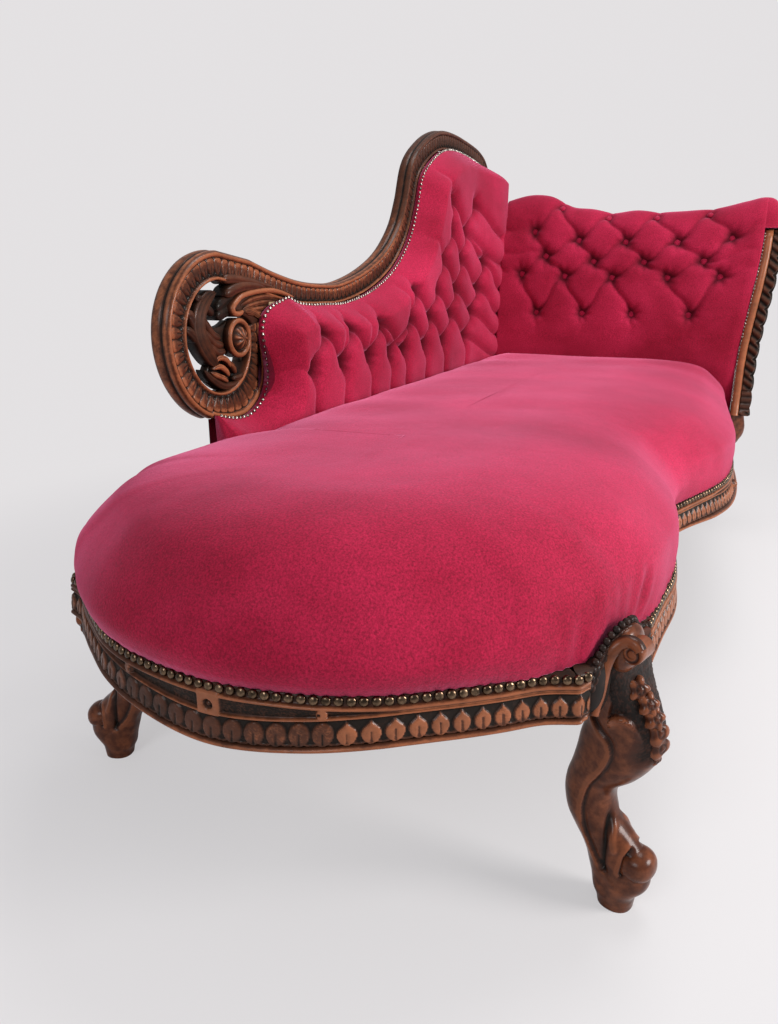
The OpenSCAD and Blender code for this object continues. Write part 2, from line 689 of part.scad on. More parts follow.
// Section of the frame: share of the half width outward, share of the depth back
frame_section_shares = [
    [-1, 0.1], [-0.8, 0], [-0.7, 0.07], [0.45, 0.07], [0.55, 0], [0.86, 0.03], [1, 0.2], [0.95, 0.46],
    [1.02, 0.58], [0.96, 0.84], [0.7, 1], [-0.9, 1]
];
function frame_ring(i) = let(
    p = frame_line[i],
    n = -normal(along(frame_line, i)),
    w = face_at(p) / 2)
    [for (q = frame_section_shares)
        [p.x - n.x * q.x * w, frame_y + q.y * frame_t, p.y - n.y * q.x * w]];
function inner_edge(i) = let(n = -normal(along(frame_line, i)), p = frame_line[i]) p + n * face_at(p) / 2;
stile_count = len(stile_line);
stile_inner = [for (i = [0:stile_count - 1]) inner_edge(i)];
frame_inner = [for (i = [stile_count:stile_count + len(frame_sweep_line) - 1]) inner_edge(i)];

module back_show_frame() {
    color(walnut) skin([for (i = [0:frame_last]) frame_ring(i)]);
}

function frame_under(x) = lookup(x, frame_inner);

// Acanthus carved inside the volute. Its points are shares of the volute's radius, from the centre
module leaf(shares, w0, w1, w2) {
    p = curve([for (q = shares) [vol_x + q.x * volute_r, volute_z + q.y * volute_r]], 2);
    last = len(p) - 1;
    y = frame_y + frame_t * leaf_set_share;
    skin([for (i = [0:last]) let(
        t = i / last,
        n = normal(along(p, i)),
        w = t < 0.5 ? mix(w0, w1, smooth(2 * t)) : mix(w1, w2, smooth(2 * t - 1)))
        [for (q = [[-1, 1], [-1, 0.45], [-0.45, 0.12], [0, 0], [0.45, 0.12], [1, 0.45], [1, 1]])
            [p[i].x + n.x * w * q.x, y + leaf_t * q.y, p[i].y + n.y * w * q.x]]]);
}
leaf_set_share = 0.08;
stem_w = 9;
lobe_w = 7;
tip_w = 4.5;
scroll_shares = [[0.92, 0.57], [0.53, 0.52], [0.33, 0.44], [0.27, 0.36], [0.36, 0.3], [0.5, 0.33]];
lobe_shares = [
    [[0.95, 0.64], [0.67, 0.68], [0.37, 0.74], [0.12, 0.75]],
    [[0.9, 0.58], [0.6, 0.62], [0.3, 0.6], [0.1, 0.54]],
    [[0.45, 0.5], [0.16, 0.47], [-0.03, 0.38]],
    [[0.36, 0.38], [0.15, 0.34], [0, 0.26]],
    [[-0.45, 0.36], [-0.46, 0.48], [-0.56, 0.54]],
    [[-0.48, 0.08], [-0.6, 0.25], [-0.72, 0.3]],
    [[-0.47, -0.04], [-0.62, 0.07], [-0.74, 0.12]],
    [[-0.44, 0.36], [-0.27, 0.38], [-0.16, 0.3]],
    [[-0.45, 0.14], [-0.26, 0.14], [-0.08, 0.1]],
    [[-0.42, 0], [-0.22, 0], [-0.04, -0.06]],
    [[-0.33, -0.15], [-0.12, -0.16], [0.06, -0.17]]
];
tall_leaf_shares = [[-0.2, -0.5], [-0.33, -0.2], [-0.47, 0.04], [-0.5, 0.23], [-0.42, 0.42], [-0.24, 0.55], [-0.08, 0.58]];
low_leaf_shares = [[0.55, -0.42], [0.36, -0.6], [0.07, -0.67], [-0.22, -0.57], [-0.36, -0.42]];
cross_leaf_shares = [[-0.2, -0.38], [-0.03, -0.33], [0.14, -0.4], [0.26, -0.52]];
web_shares = [[0.33, 0.42], [0.4, 0.31], [0.6, 0.28], [0.68, 0.17], [1.03, 0.23], [1.14, 0.29], [1.33, 0.38], [1.6, 0.455]];
module volute_carving() {
    color(walnut) difference() {
        carved_leaves();
        skin([for (i = [0:frame_last]) frame_ring(i)]);
    }
}
module carved_leaves() {
    union() {
        leaf(scroll_shares, stem_w, stem_w, tip_w);
        leaf(tall_leaf_shares, stem_w, stem_w, tip_w);
        leaf(low_leaf_shares, lobe_w, stem_w, lobe_w);
        leaf(cross_leaf_shares, lobe_w, lobe_w, tip_w);
        for (q = lobe_shares) leaf(q, tip_w, lobe_w, tip_w);
        translate([0, frame_y + frame_t * leaf_set_share + leaf_t, 0]) rotate([90, 0, 0])
            linear_extrude(leaf_t * 0.8) polygon(concat(
                [for (q = web_shares) [vol_x + q.x * volute_r, volute_z + q.y * volute_r]],
                [for (p = frame_inner) if (p.x > vol_x + 0.45 * volute_r && p.x < vol_x + 1.9 * volute_r)
                    [p.x, p.y - soft_gap]]));
    }
}

rosette_shares = [0.43, -0.03];
module volute_rosette() {
    r = rosette_r;
    color(walnut) translate([vol_x + rosette_shares.x * volute_r, frame_y - pin_gap, volute_z + rosette_shares.y * volute_r])
        rotate([90, 0, 0]) rotate_extrude($fn = 32) polygon([
            [0, 0], [r, 0], [r, rosette_h * 0.55], [r * 0.9, rosette_h * 0.75], [r * 0.76, rosette_h * 0.7],
            [r * 0.7, rosette_h * 0.35], [r * 0.6, rosette_h * 0.4], [r * 0.45, rosette_h * 0.8],
            [r * 0.2, rosette_h], [0, rosette_h]]);
}

// Posts of the back stand on the back rail and meet the underside of the show frame
post_y = frame_y + cloth_t + pin_gap;
post_end_x = head_in_x;
volute_post_x = vol_x + 0.76 * volute_r;
post_xs = [volute_post_x, mix(volute_post_x, post_end_x - post_w, 0.36),
    mix(volute_post_x, post_end_x - post_w, 0.67), post_end_x - post_w];
function ring_under(x) = let(dx = min(abs(x - vol_x), volute_r), r = volute_r + face_w * 0.52)
    volute_z - sqrt(r * r - dx * dx);
function post_top(i) = let(x = post_xs[i])
    i == 0 ? ring_under(x - post_w / 2) - soft_gap :
    min(frame_under(x - post_w / 2), frame_under(x + post_w / 2)) - soft_gap;
module back_posts() {
    color(beech) for (i = [0:len(post_xs) - 1])
        translate([post_xs[i] - post_w / 2, post_y, rail_top]) cube([post_w, post_t, post_top(i) - rail_top]);
}

tack_z = rail_top + tack_h * 1.3;
module back_tack_rail() {
    color(beech) for (i = [0:len(post_xs) - 2])
        translate([post_xs[i] + post_w / 2, post_y, tack_z])
            cube([post_xs[i + 1] - post_xs[i] - post_w, post_t, tack_h]);
}

back_web_count = 8;
back_web_y = frame_y;
module back_webbing() {
    x0 = post_xs[0] + web_w;
    step = (post_xs[3] - x0) / back_web_count;
    color(linen) for (i = [0:back_web_count - 1]) let(
        x = x0 + i * step,
        top = min(frame_under(x), frame_under(x + web_w)) - soft_gap)
        translate([x, back_web_y, tack_z]) cube([web_w, cloth_t, top - tack_z]);
}

// Back upholstery: columns from the volute to the head corner, each from the rail up to the frame
back_x0 = vol_x + volute_r - volute_wind + face_w / 2 + soft_gap * 10;
back_x1 = head_in_x + post_w / 2;
back_columns = 28;
back_rows = 11;
edge_t = 9;
edge_run = 46;
corner_extra = 23;
under_shares = [0, 0.25, 0.5, 0.75, 0.96];
back_xs = concat(
    [for (t = under_shares) mix(back_left_x, back_x0, t)],
    [for (i = [0:back_columns]) mix(back_x0, back_x1, i / back_columns)]);
function back_top(x) = x < back_x0 ? ring_under(x) - 2 * soft_gap :
    frame_under(x) - soft_gap * 2 - max(0, back_x0 + volute_r * 0.5 - x) * 0.5;
function back_depth(x, z) = let(
    top = smooth((back_top(x) - z) / edge_run),
    left = smooth((x - back_left_x) / edge_run),
    corner = corner_extra * smooth((x - head_face_x) / corner_extra))
    mix(edge_t, back_pad_t - edge_t, sqrt(top * left)) + corner * top + edge_t * top * left;
back_low_z = rail_top + soft_gap;
back_lean = 30;
function back_lean_at(x) = back_lean * smooth((x - seat_head_x + back_lean * 2) / (back_x1 - seat_head_x + back_lean * 2));
function back_column(x) = let(top = back_top(x), lean = back_lean_at(x), run = top - back_low_z) concat(
    [[x - lean, back_rear_y, back_low_z], [x, back_rear_y, top]],
    [for (j = [back_rows:-1:0]) let(z = mix(back_low_z, top, 1 - pow(1 - j / back_rows, 1.3)))
        [x - lean * (top - z) / run, back_rear_y - back_depth(x, z), z]]);

// Buttons of the back: height share between the seat and the crest, then places along the back
back_button_rows = [
    [0.09, [0.06, 0.164, 0.27, 0.36, 0.435, 0.545, 0.66, 0.81]],
    [0.2, [0.1, 0.2, 0.32, 0.467, 0.575, 0.705, 0.855]],
    [0.31, [0.493, 0.613, 0.735, 0.89]],
    [0.436, [0.652, 0.77, 0.92]],
    [0.56, [0.705, 0.8]],
    [0.69, [0.7, 0.85]]
];
back_run = head_face_x - back_x0;
crest_run = crest_z - seat_z;
back_tuft_shares = [0.11, 0.12];
function back_seat(x, z) = back_rear_y - max(back_pad_t - tuft_depth, edge_t);
module tuft(a, b) {
    r = button_d / 2 / cos(22.5) + pin_gap;
    long = [a / 2, b / 2];
    skin([for (w = [0, 1, 2]) let(g = w == 0 ? 0 : w, h = w * tuft_depth)
        [for (k = [0:7]) let(
            c = cos(k * 45),
            s = sin(k * 45),
            corner = k % 2 == 1,
            u = corner ? long.x * sign(c) : c * r * 2,
            v = corner ? long.y * sign(s) : s * r * 2)
            [mix(r * c, u, g), mix(r * s, v, g), h]]]);
}
module at_back_buttons() {
    for (row = back_button_rows, s = row[1]) let(x = back_x0 + s * back_run, z = seat_z + row[0] * crest_run)
        translate([x, back_seat(x, z), z]) rotate([90, 0, 0]) children();
}
module back_pad() {
    color(velvet) difference() {
        skin([for (x = back_xs) back_column(x)]);
        at_back_buttons() tuft(back_run * back_tuft_shares.x, crest_run * back_tuft_shares.y);
    }
}

button_h = 6;
module button() {
    r = button_d / 2;
    rotate_extrude($fn = 16) polygon([[0, 0], [r, 0], [r, button_h * 0.4], [r * 0.7, button_h * 0.85], [0, button_h]]);
}
module back_buttons() {
    color(velvet) at_back_buttons() button();
}

// Cloth over the outside of the back, from the volute's underside to the stile
module outside_back_cover() {
    low = rail_top + 2 * soft_gap;
    color(velvet) translate([0, frame_rear_y - soft_gap, 0]) rotate([90, 0, 0]) linear_extrude(cloth_t)
        polygon(concat(
            [for (p = stile_inner) [p.x - soft_gap, max(low, p.y)]],
            [for (p = frame_inner) if (p.x > back_x0) [p.x, p.y - soft_gap]],
            [for (t = [1:-0.125:0]) let(x = mix(back_left_x, back_x0, t)) [x, ring_under(x) - soft_gap]],
            [[back_left_x, low]]));
}

// Side profile of the head upholstery: shares of its depth and of its height above the rail
head_rise = head_z - rail_top;
facing_rise = head_rise * 0.84;
head_shares = [
    [0.2, 0], [0.06, 0.08], [0, 0.2], [0, 0.34], [0.02, 0.48], [0.07, 0.62], [0.13, 0.76], [0.22, 0.88],
    [0.33, 0.96], [0.49, 1], [0.68, 0.995], [0.85, 0.95], [0.96, 0.87], [1, 0.79], [0.97, 0.73], [0.86, 0.7]
];
head_post_x0 = head_face_x + 0.43 * head_d;
head_post_x1 = head_post_x0 + post_t;
head_bar_top = rail_top + head_rise * 0.86;
head_low_z = rail_top + soft_gap;
head_rear_y = back_rear_y - back_pad_t - corner_extra - 1.5 * soft_gap;
function head_ring(y, s) = concat(
    [for (q = head_shares) let(z = head_low_z + q.y * (head_rise - soft_gap))
        [head_face_x + q.x * head_d, y, z + s * max(0, z - rail_top - head_rise * 0.6)]],
    [[head_post_x1 + soft_gap, y, rail_top + head_rise * 0.71], [head_post_x1 + soft_gap, y, head_bar_top + soft_gap],
     [head_post_x0 - soft_gap, y, head_bar_top + soft_gap], [head_post_x0 - soft_gap, y, head_low_z]]);
// Stations from the front to the back corner, and how far the roll rises there as a share of its height
head_lift_shares = [
    [0, 0.13], [0.08, 0.06], [0.17, 0], [0.34, -0.03], [0.45, 0], [0.54, -0.02], [0.63, 0.03], [0.71, 0.06],
    [0.77, 0.15], [0.83, 0.22], [0.915, 0.23], [1, 0.17]
];
lip_shares = [[1, 0.2], [0.9, 0.6], [0.55, 0.9], [0, 1]];
facing_top_z = rail_top + facing_rise + facing_scroll_r * 0.9;
// The lip of the roll laps over the top of the facing: its profile is squeezed up, then rounded off
lip_foot = 6;
function lip_ring(y, k) = let(
    low = facing_top_z + soft_gap,
    mid = head_face_x + head_d / 2)
    [for (p = head_ring(y, head_lift_shares[0].y)) let(
        z = p.z < low ? lip_foot * (p.z - rail_top) / (low - rail_top) : p.z - low + lip_foot)
        [mix(mid, p.x, mix(0.7, 1, k)), y, low + k * z]];
module head_pad() {
    y0 = head_front_y + soft_gap;
    color(velvet) difference() {
        union() {
            skin([for (q = head_lift_shares) head_ring(mix(y0, head_rear_y, q.x), q.y)]);
            skin([for (q = lip_shares) lip_ring(y0 + over - q[0] * (facing_t + over), q[1])]);
        }
        at_head_buttons() tuft(head_tuft_shares.x * head_d, head_tuft_shares.y * head_rise);
    }
}
head_tuft_shares = [0.8, 0.17];

// Buttons of the head: height share, then places across the head
head_button_rows = [
    [0.49, 0, [0.208, 0.426, 0.632, 0.829]],
    [0.678, 0, [0.125, 0.306, 0.52, 0.719, 0.907]],
    [0.757, 0.2, [0.19, 0.398, 0.602, 0.807]],
    [0.857, 0.6, [0.106, 0.285, 0.478, 0.672, 0.863]]
];
function head_face_at(share) = lookup(share, [for (i = [1:10]) [head_shares[i].y, head_shares[i].x]]);
module at_head_buttons() {
    for (row = head_button_rows, s = row[2])
        translate([head_face_x + head_face_at(row[0]) * head_d + tuft_depth * 0.9, mix(head_front_y, head_rear_y, s),
            rail_top + row[0] * head_rise]) rotate([0, -90 + row[1] * 50, 0]) rotate([0, 0, 90]) children();
}
module head_buttons() {
    color(velvet) at_head_buttons() button();
}

// Carved facing on the front end of the head: front and back edges as shares of the facing's width
// and height, ending in a scroll
facing_edge_shares = [[-0.34, 0], [-0.14, 0.07], [-0.02, 0.18], [0, 0.33], [0.06, 0.5], [0.14, 0.65], [0.26, 0.8], [0.42, 0.92]];
facing_back_shares = [[1.75, 0.86], [1.42, 0.74], [1.2, 0.6], [1.06, 0.45], [1, 0.3], [1.06, 0.16], [1.3, 0.06], [1.5, 0]];
facing_boss_shares = [[0, 0], [0.85, 0], [0.85, 0.35], [0.55, 0.6], [0.55, 0.85], [0.3, 1], [0, 1]];
module head_facing() {
    y1 = head_front_y;
    top = [for (k = [0:9]) let(a = 165 - k * 20)
        [head_face_x + facing_w * 1.15 + facing_scroll_r * cos(a), rail_top + facing_rise + facing_scroll_r * sin(a) * 0.9]];
    color(walnut) translate([0, y1, 0]) rotate([90, 0, 0]) {
        linear_extrude(facing_t * 0.7) polygon(concat(
            curve([for (q = facing_edge_shares) [head_face_x + q.x * facing_w, rail_top + q.y * facing_rise]], 2),
            top,
            curve([for (q = facing_back_shares) [head_face_x + q.x * facing_w, rail_top + q.y * facing_rise]], 2)));
        translate([head_face_x + facing_w * 1.15, rail_top + facing_rise, facing_t * 0.7]) rotate_extrude($fn = 32)
            polygon([for (q = facing_boss_shares) [q.x * facing_scroll_r, q.y * (head_front - facing_t * 0.7)]]);
        translate([0, 0, facing_t * 0.7]) linear_extrude(facing_t * 0.2) polygon(concat(
            curve([for (q = facing_edge_shares) [head_face_x + (q.x + 0.22) * facing_w, rail_top + q.y * facing_rise]], 2),
            [for (i = [len(facing_back_shares) - 1:-1:0])  [head_face_x + (facing_back_shares[7 - i].x - 0.2) * facing_w,
                rail_top + facing_back_shares[7 - i].y * facing_rise]]));
    }
}

// Posts, bars and cloth inside the head
head_post_ys = [head_front_y + post_w, head_rear_y - post_w];
module head_posts() {
    color(beech) for (y = head_post_ys)
        translate([head_post_x0, y - post_w / 2, rail_top]) cube([post_t, post_w, head_bar_top - post_w - rail_top]);
}
module head_top_rail() {
    color(beech) translate([head_post_x0, head_front_y + soft_gap, head_bar_top - post_w])
        cube([post_t, head_rear_y - head_front_y - 2 * soft_gap, post_w]);
}
module head_tack_rail() {
    color(beech) translate([head_post_x0, head_post_ys[0] + post_w / 2, tack_z])
        cube([post_t, head_post_ys[1] - head_post_ys[0] - post_w, tack_h]);
}
head_web_count = 5;
module head_webbing() {
    span = head_post_ys[1] - head_post_ys[0] - post_w;
    color(linen) for (i = [0:head_web_count - 1])
        translate([head_post_x0 + post_t + pin_gap, head_post_ys[0] + post_w / 2 + span * (i + 0.5) / head_web_count - web_w / 2, tack_z])
            cube([cloth_t, web_w, head_bar_top - tack_z - soft_gap - head_rise * 0.15]);
}
module outside_head_cover() {
    x = head_post_x1 + cloth_t + 2 * pin_gap;
    color(velvet) translate([x, head_front_y + soft_gap, rail_top + soft_gap])
        cube([cloth_t, head_rear_y - head_front_y - 2 * soft_gap, head_rise * 0.7]);
}

foot_rail();
front_rail();
back_rail();
head_rail();
leg_foot_front();
leg_foot_back();
leg_head_front();
leg_head_back();
rail_dowels();
corner_blocks();
corner_screws();
cross_rails();
seat_webbing();
seat_springs();
spring_hessian();
seat_stuffing();
seat_cover();
dust_cover();
back_show_frame();
volute_carving();
volute_rosette();
back_posts();
back_tack_rail();
back_webbing();
back_pad();
back_buttons();
outside_back_cover();
head_facing();
head_posts();
head_top_rail();
head_tack_rail();
head_webbing();
head_pad();
head_buttons();
outside_head_cover();
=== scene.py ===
# %% [markdown]
# # A carved fainting couch in buttoned velvet
# The couch has a low serpentine seat on four cabriole legs. Its back starts as a pierced scroll at the foot
# end and sweeps up to a crest at the head, and the head roll is deeply buttoned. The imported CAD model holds
# the real sizes. This lesson dresses it: every soft and carved surface is rebuilt as a dense mesh in the
# same place, and the plain inner pieces keep their CAD shape and only get a finish.

import math

import bmesh
import bpy
import numpy as np
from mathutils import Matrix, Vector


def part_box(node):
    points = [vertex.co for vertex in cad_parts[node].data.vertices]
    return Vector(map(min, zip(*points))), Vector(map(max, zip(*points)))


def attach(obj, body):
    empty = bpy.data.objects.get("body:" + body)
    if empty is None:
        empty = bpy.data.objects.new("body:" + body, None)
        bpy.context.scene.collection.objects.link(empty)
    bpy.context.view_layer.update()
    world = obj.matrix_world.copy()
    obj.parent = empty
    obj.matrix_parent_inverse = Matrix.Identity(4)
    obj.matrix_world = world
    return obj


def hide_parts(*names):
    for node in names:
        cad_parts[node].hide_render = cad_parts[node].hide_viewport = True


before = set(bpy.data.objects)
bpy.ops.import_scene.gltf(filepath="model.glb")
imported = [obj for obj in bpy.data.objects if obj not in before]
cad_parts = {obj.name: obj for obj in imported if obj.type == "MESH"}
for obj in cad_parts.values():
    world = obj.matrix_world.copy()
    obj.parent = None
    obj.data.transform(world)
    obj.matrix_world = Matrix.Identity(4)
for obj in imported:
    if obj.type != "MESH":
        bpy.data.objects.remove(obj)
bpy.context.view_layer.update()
scene = bpy.context.scene
scene.view_settings.view_transform = "Standard"

# %% [markdown]
# Upholsterers and carvers work in millimetres, so every place below is in millimetres, and one helper turns
# a grid of points into a Blender mesh in metres. A grid is the simplest mesh for a moulding or a padded
# surface: rows run along the piece and columns across it, so relief can be added with plain arithmetic
# before the mesh is made. Work sculpted by hand could not be repeated exactly.

# %% Shaping helpers
MM = 0.001


def smooth(t):
    """A soft step, 0 up to t = 0 and 1 from t = 1."""
    t = np.clip(t, 0, 1)
    return t * t * (3 - 2 * t)


def mix(a, b, t):
    """From a to b by the share t."""
    return a + (b - a) * t


def bump(d, w):
    """A bell round d = 0, about as wide as w on either side."""
    return np.exp(-(np.asarray(d) / w) ** 2)


def curve(points, steps):
    """A smooth line through given points, with `steps` pieces between each pair."""
    p = np.asarray(points, float)
    q = np.vstack([p[:1], p, p[-1:]])
    t = (np.arange(steps) / steps)[:, None]
    a, b, c, d = q[:-3], q[1:-2], q[2:-1], q[3:]
    spans = [0.5 * (2 * b[i] + (c[i] - a[i]) * t + (2 * a[i] - 5 * b[i] + 4 * c[i] - d[i]) * t ** 2
                    + (3 * b[i] - a[i] - 3 * c[i] + d[i]) * t ** 3) for i in range(len(p) - 1)]
    return np.vstack(spans + [p[-1:]])


def loop_curve(points, steps):
    """The same for a closed outline."""
    p = np.asarray(points, float)
    m = len(p)
    return curve(np.vstack([p[-3:], p, p[:3]]), steps)[3 * steps:(m + 3) * steps]


def lengths(line):
    """Distance from the start of a line to each of its points."""
    return np.concatenate([[0], np.cumsum(np.linalg.norm(np.diff(line, axis=0), axis=1))])


def even(line, step):
    """The line again, with points an equal distance apart."""
    s = lengths(line)
    t = np.linspace(0, s[-1], max(2, int(round(s[-1] / step)) + 1))
    return np.stack([np.interp(t, s, line[:, k]) for k in range(line.shape[1])], 1)


def side(line, closed=False):
    """Unit normals of a flat line, to the right of its direction."""
    d = np.roll(line, -1, 0) - np.roll(line, 1, 0) if closed else np.gradient(line, axis=0)
    n = np.stack([d[:, 1], -d[:, 0]], 1)
    return n / np.linalg.norm(n, axis=1)[:, None]


def unit(v):
    """The same directions, each of length 1."""
    return v / np.maximum(np.linalg.norm(v, axis=-1, keepdims=True), 1e-9)


# %% Turn a grid of points into a piece
def grid_faces(rows, cols):
    """Four-sided faces of a grid whose last column meets its first."""
    i = np.arange(rows - 1)[:, None] * cols
    j = np.arange(cols)[None, :]
    j2 = (j + 1) % cols
    return np.stack([i + j, i + j2, i + cols + j2, i + cols + j], -1).reshape(-1, 4)


def grid_mesh(name, grid, relief=None):
    """A mesh from such a grid, with a cap at both ends."""
    rows, cols = grid.shape[:2]
    faces = grid_faces(rows, cols).tolist()
    faces += [list(range(cols)), [(rows - 1) * cols + j for j in range(cols - 1, -1, -1)]]
    return solid_mesh(name, grid.reshape(-1, 3), faces, None if relief is None else relief.ravel())


def solid_mesh(name, points, faces, relief=None):
    """A smooth-shaded mesh in metres. `relief` says how high a point of carving stands, from 0 in the
    recesses to 1 on the ridges, or how deep a point of velvet lies in a fold, from 0 to 1. The finishes
    darken by it: dust and painted shade in the carving's recesses, painted shade in the velvet's folds."""
    mesh = bpy.data.meshes.new(name)
    mesh.from_pydata((np.asarray(points, float) * MM).tolist(), [], faces)
    if relief is not None:
        values = np.asarray(relief, np.float32)
        mesh.attributes.new("relief", "FLOAT", "POINT").data.foreach_set("value", values)
    bm = bmesh.new()
    bm.from_mesh(mesh)
    bmesh.ops.recalc_face_normals(bm, faces=bm.faces)
    bm.to_mesh(mesh)
    bm.free()
    mesh.shade_smooth()
    return mesh


def piece(name, mesh, finish, slot, *nodes):
    """Puts a finished mesh on the couch, in place of the CAD nodes that it stands for."""
    obj = bpy.data.objects.new(name, mesh)
    scene.collection.objects.link(obj)
    obj.data.materials.append(finish)
    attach(obj, "root")
    if nodes:
        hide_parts(*nodes)
    print(f"{name}: {len(mesh.vertices)} points")
    return obj


def closed_piece(name, grid, relief, finish, slot, *nodes):
    """A piece from one grid, closed across its columns and capped at both ends."""
    return piece(name, grid_mesh(name, grid, relief), finish, slot, *nodes)


# %% [markdown]
# ## Camera
# The photograph was taken from the foot end, a little above seat height, with a fairly wide lens. A wide
# lens close to the couch is what makes the foot so large and the head so small, so the real distance and
# the real lens matter more than the framing.

# %% Camera
CAMERA_PLACE = (-1.384, -0.355, 0.640)
LENS_MM, LOOKS_DOWN, HEADING = 27.42, 17, 23.73
camera = bpy.data.objects.new("camera", bpy.data.cameras.new("camera"))
scene.collection.objects.link(camera)
camera.data.sensor_width = 36
camera.data.lens = LENS_MM
camera.location = CAMERA_PLACE
camera.rotation_euler = (math.radians(90 - LOOKS_DOWN), 0, math.radians(HEADING - 90))
camera.data.clip_start, camera.data.clip_end = 0.02, 50
scene.camera = camera
print("camera", tuple(camera.location), "lens", camera.data.lens)

# %% [markdown]
# ## Finishes
# Each finish is a small node tree. Colour and roughness vary through noise, which is where cloth and old
# wood get their life. Anything that is the same all over, such as the amount of sheen, is typed straight
# into the shader's own socket.

# %% Node helpers
def new_finish(name):
    """A fresh material, with its tree and its shader."""
    finish = bpy.data.materials.new(name)
    finish.use_nodes = True
    tree = finish.node_tree
    shader = tree.nodes["Principled BSDF"]
    return finish, tree, shader


def node(tree, kind, **settings):
    """A new node. Each setting goes to the input of that name, or else to the node itself."""
    made = tree.nodes.new(kind)
    for key, value in settings.items():
        if key in made.inputs:
            made.inputs[key].default_value = value
        else:
            setattr(made, key, value)
    return made


def noise(tree, scale, detail=3.0, stretch=(1, 1, 1), roughness=0.55):
    """Noise fixed to the object, `scale` per metre, drawn out where `stretch` is small."""
    place = node(tree, "ShaderNodeTexCoord")
    mapping = node(tree, "ShaderNodeMapping")
    mapping.inputs["Scale"].default_value = stretch
    made = node(tree, "ShaderNodeTexNoise", Scale=scale, Detail=detail, Roughness=roughness)
    tree.links.new(place.outputs["Object"], mapping.inputs["Vector"])
    tree.links.new(mapping.outputs["Vector"], made.inputs["Vector"])
    return made.outputs["Fac"]


def ramp(tree, source, *stops):
    """Colours or greys at the given places of a 0 to 1 value."""
    made = node(tree, "ShaderNodeValToRGB")
    bar = made.color_ramp
    while len(bar.elements) < len(stops):
        bar.elements.new(0.5)
    for element, (place, colour) in zip(bar.elements, stops):
        element.position = place
        element.color = (*colour, 1) if hasattr(colour, "__len__") else (colour, colour, colour, 1)
    tree.links.new(source, made.inputs["Fac"])
    return made.outputs["Color"]


def blend(tree, share, a, b, way="MIX"):
    """Mixes two colours, either of them a socket or three numbers."""
    made = node(tree, "ShaderNodeMix", data_type="RGBA", blend_type=way)
    for value, key in ((share, 0), (a, 6), (b, 7)):
        socket = made.inputs[key]
        if hasattr(value, "is_linked"):
            tree.links.new(value, socket)
        else:
            socket.default_value = (*value, 1) if hasattr(value, "__len__") else value
    return made.outputs[2]


def bumpy(tree, shader, *heights):
    """Stacks bump nodes: each is (height socket, strength, depth in metres)."""
    last = None
    for height, strength, depth in heights:
        made = node(tree, "ShaderNodeBump", Strength=strength, Distance=depth)
        tree.links.new(height, made.inputs["Height"])
        if last:
            tree.links.new(last, made.inputs["Normal"])
        last = made.outputs["Normal"]
    tree.links.new(last, shader.inputs["Normal"])


# %% [markdown]
# ### Velvet
# Velvet is a short upright pile. Seen from above it is deep crimson, and at a glancing angle the fibre tips
# catch the light and turn it pink. The sheen layer of the shader gives that bloom. Where hands and time have
# pushed the pile over, patches read lighter or darker, so a large soft noise shifts the base colour.

# %% Velvet
def velvet_finish(name, deep, fresh):
    finish, tree, shader = new_finish(name)
    brushed = ramp(tree, noise(tree, 3.2, 4, (1, 1, 1.6), 0.62), (0.36, 0.0), (0.66, 1.0))
    colour = blend(tree, brushed, deep, fresh)
    speckle = ramp(tree, noise(tree, 460, 3, (1, 1, 1), 0.75), (0.32, 0.56), (0.68, 1.4))
    colour = blend(tree, 1.0, colour, speckle, "MULTIPLY")
    # Padded pieces write where the cloth lies folded in, and there the colour is darkened as painted shade
    fold_painted_shade = node(tree, "ShaderNodeAttribute", attribute_name="relief").outputs["Fac"]
    colour = blend(tree, fold_painted_shade, colour, (0.05, 0.0, 0.004))
    tree.links.new(colour, shader.inputs["Base Color"])
    shader.inputs["Roughness"].default_value = 0.88
    shader.inputs["Specular IOR Level"].default_value = 0.18
    shader.inputs["Sheen Weight"].default_value = 0.56
    shader.inputs["Sheen Roughness"].default_value = 0.38
    shader.inputs["Sheen Tint"].default_value = (1.0, 0.29, 0.52, 1)
    bumpy(tree, shader, (noise(tree, 480, 3), 0.35, 0.0012), (noise(tree, 9, 3), 0.25, 0.006))
    return finish


velvet = velvet_finish("crimson_velvet", (0.24, 0.003, 0.022), (0.40, 0.012, 0.052))
print("velvet made")
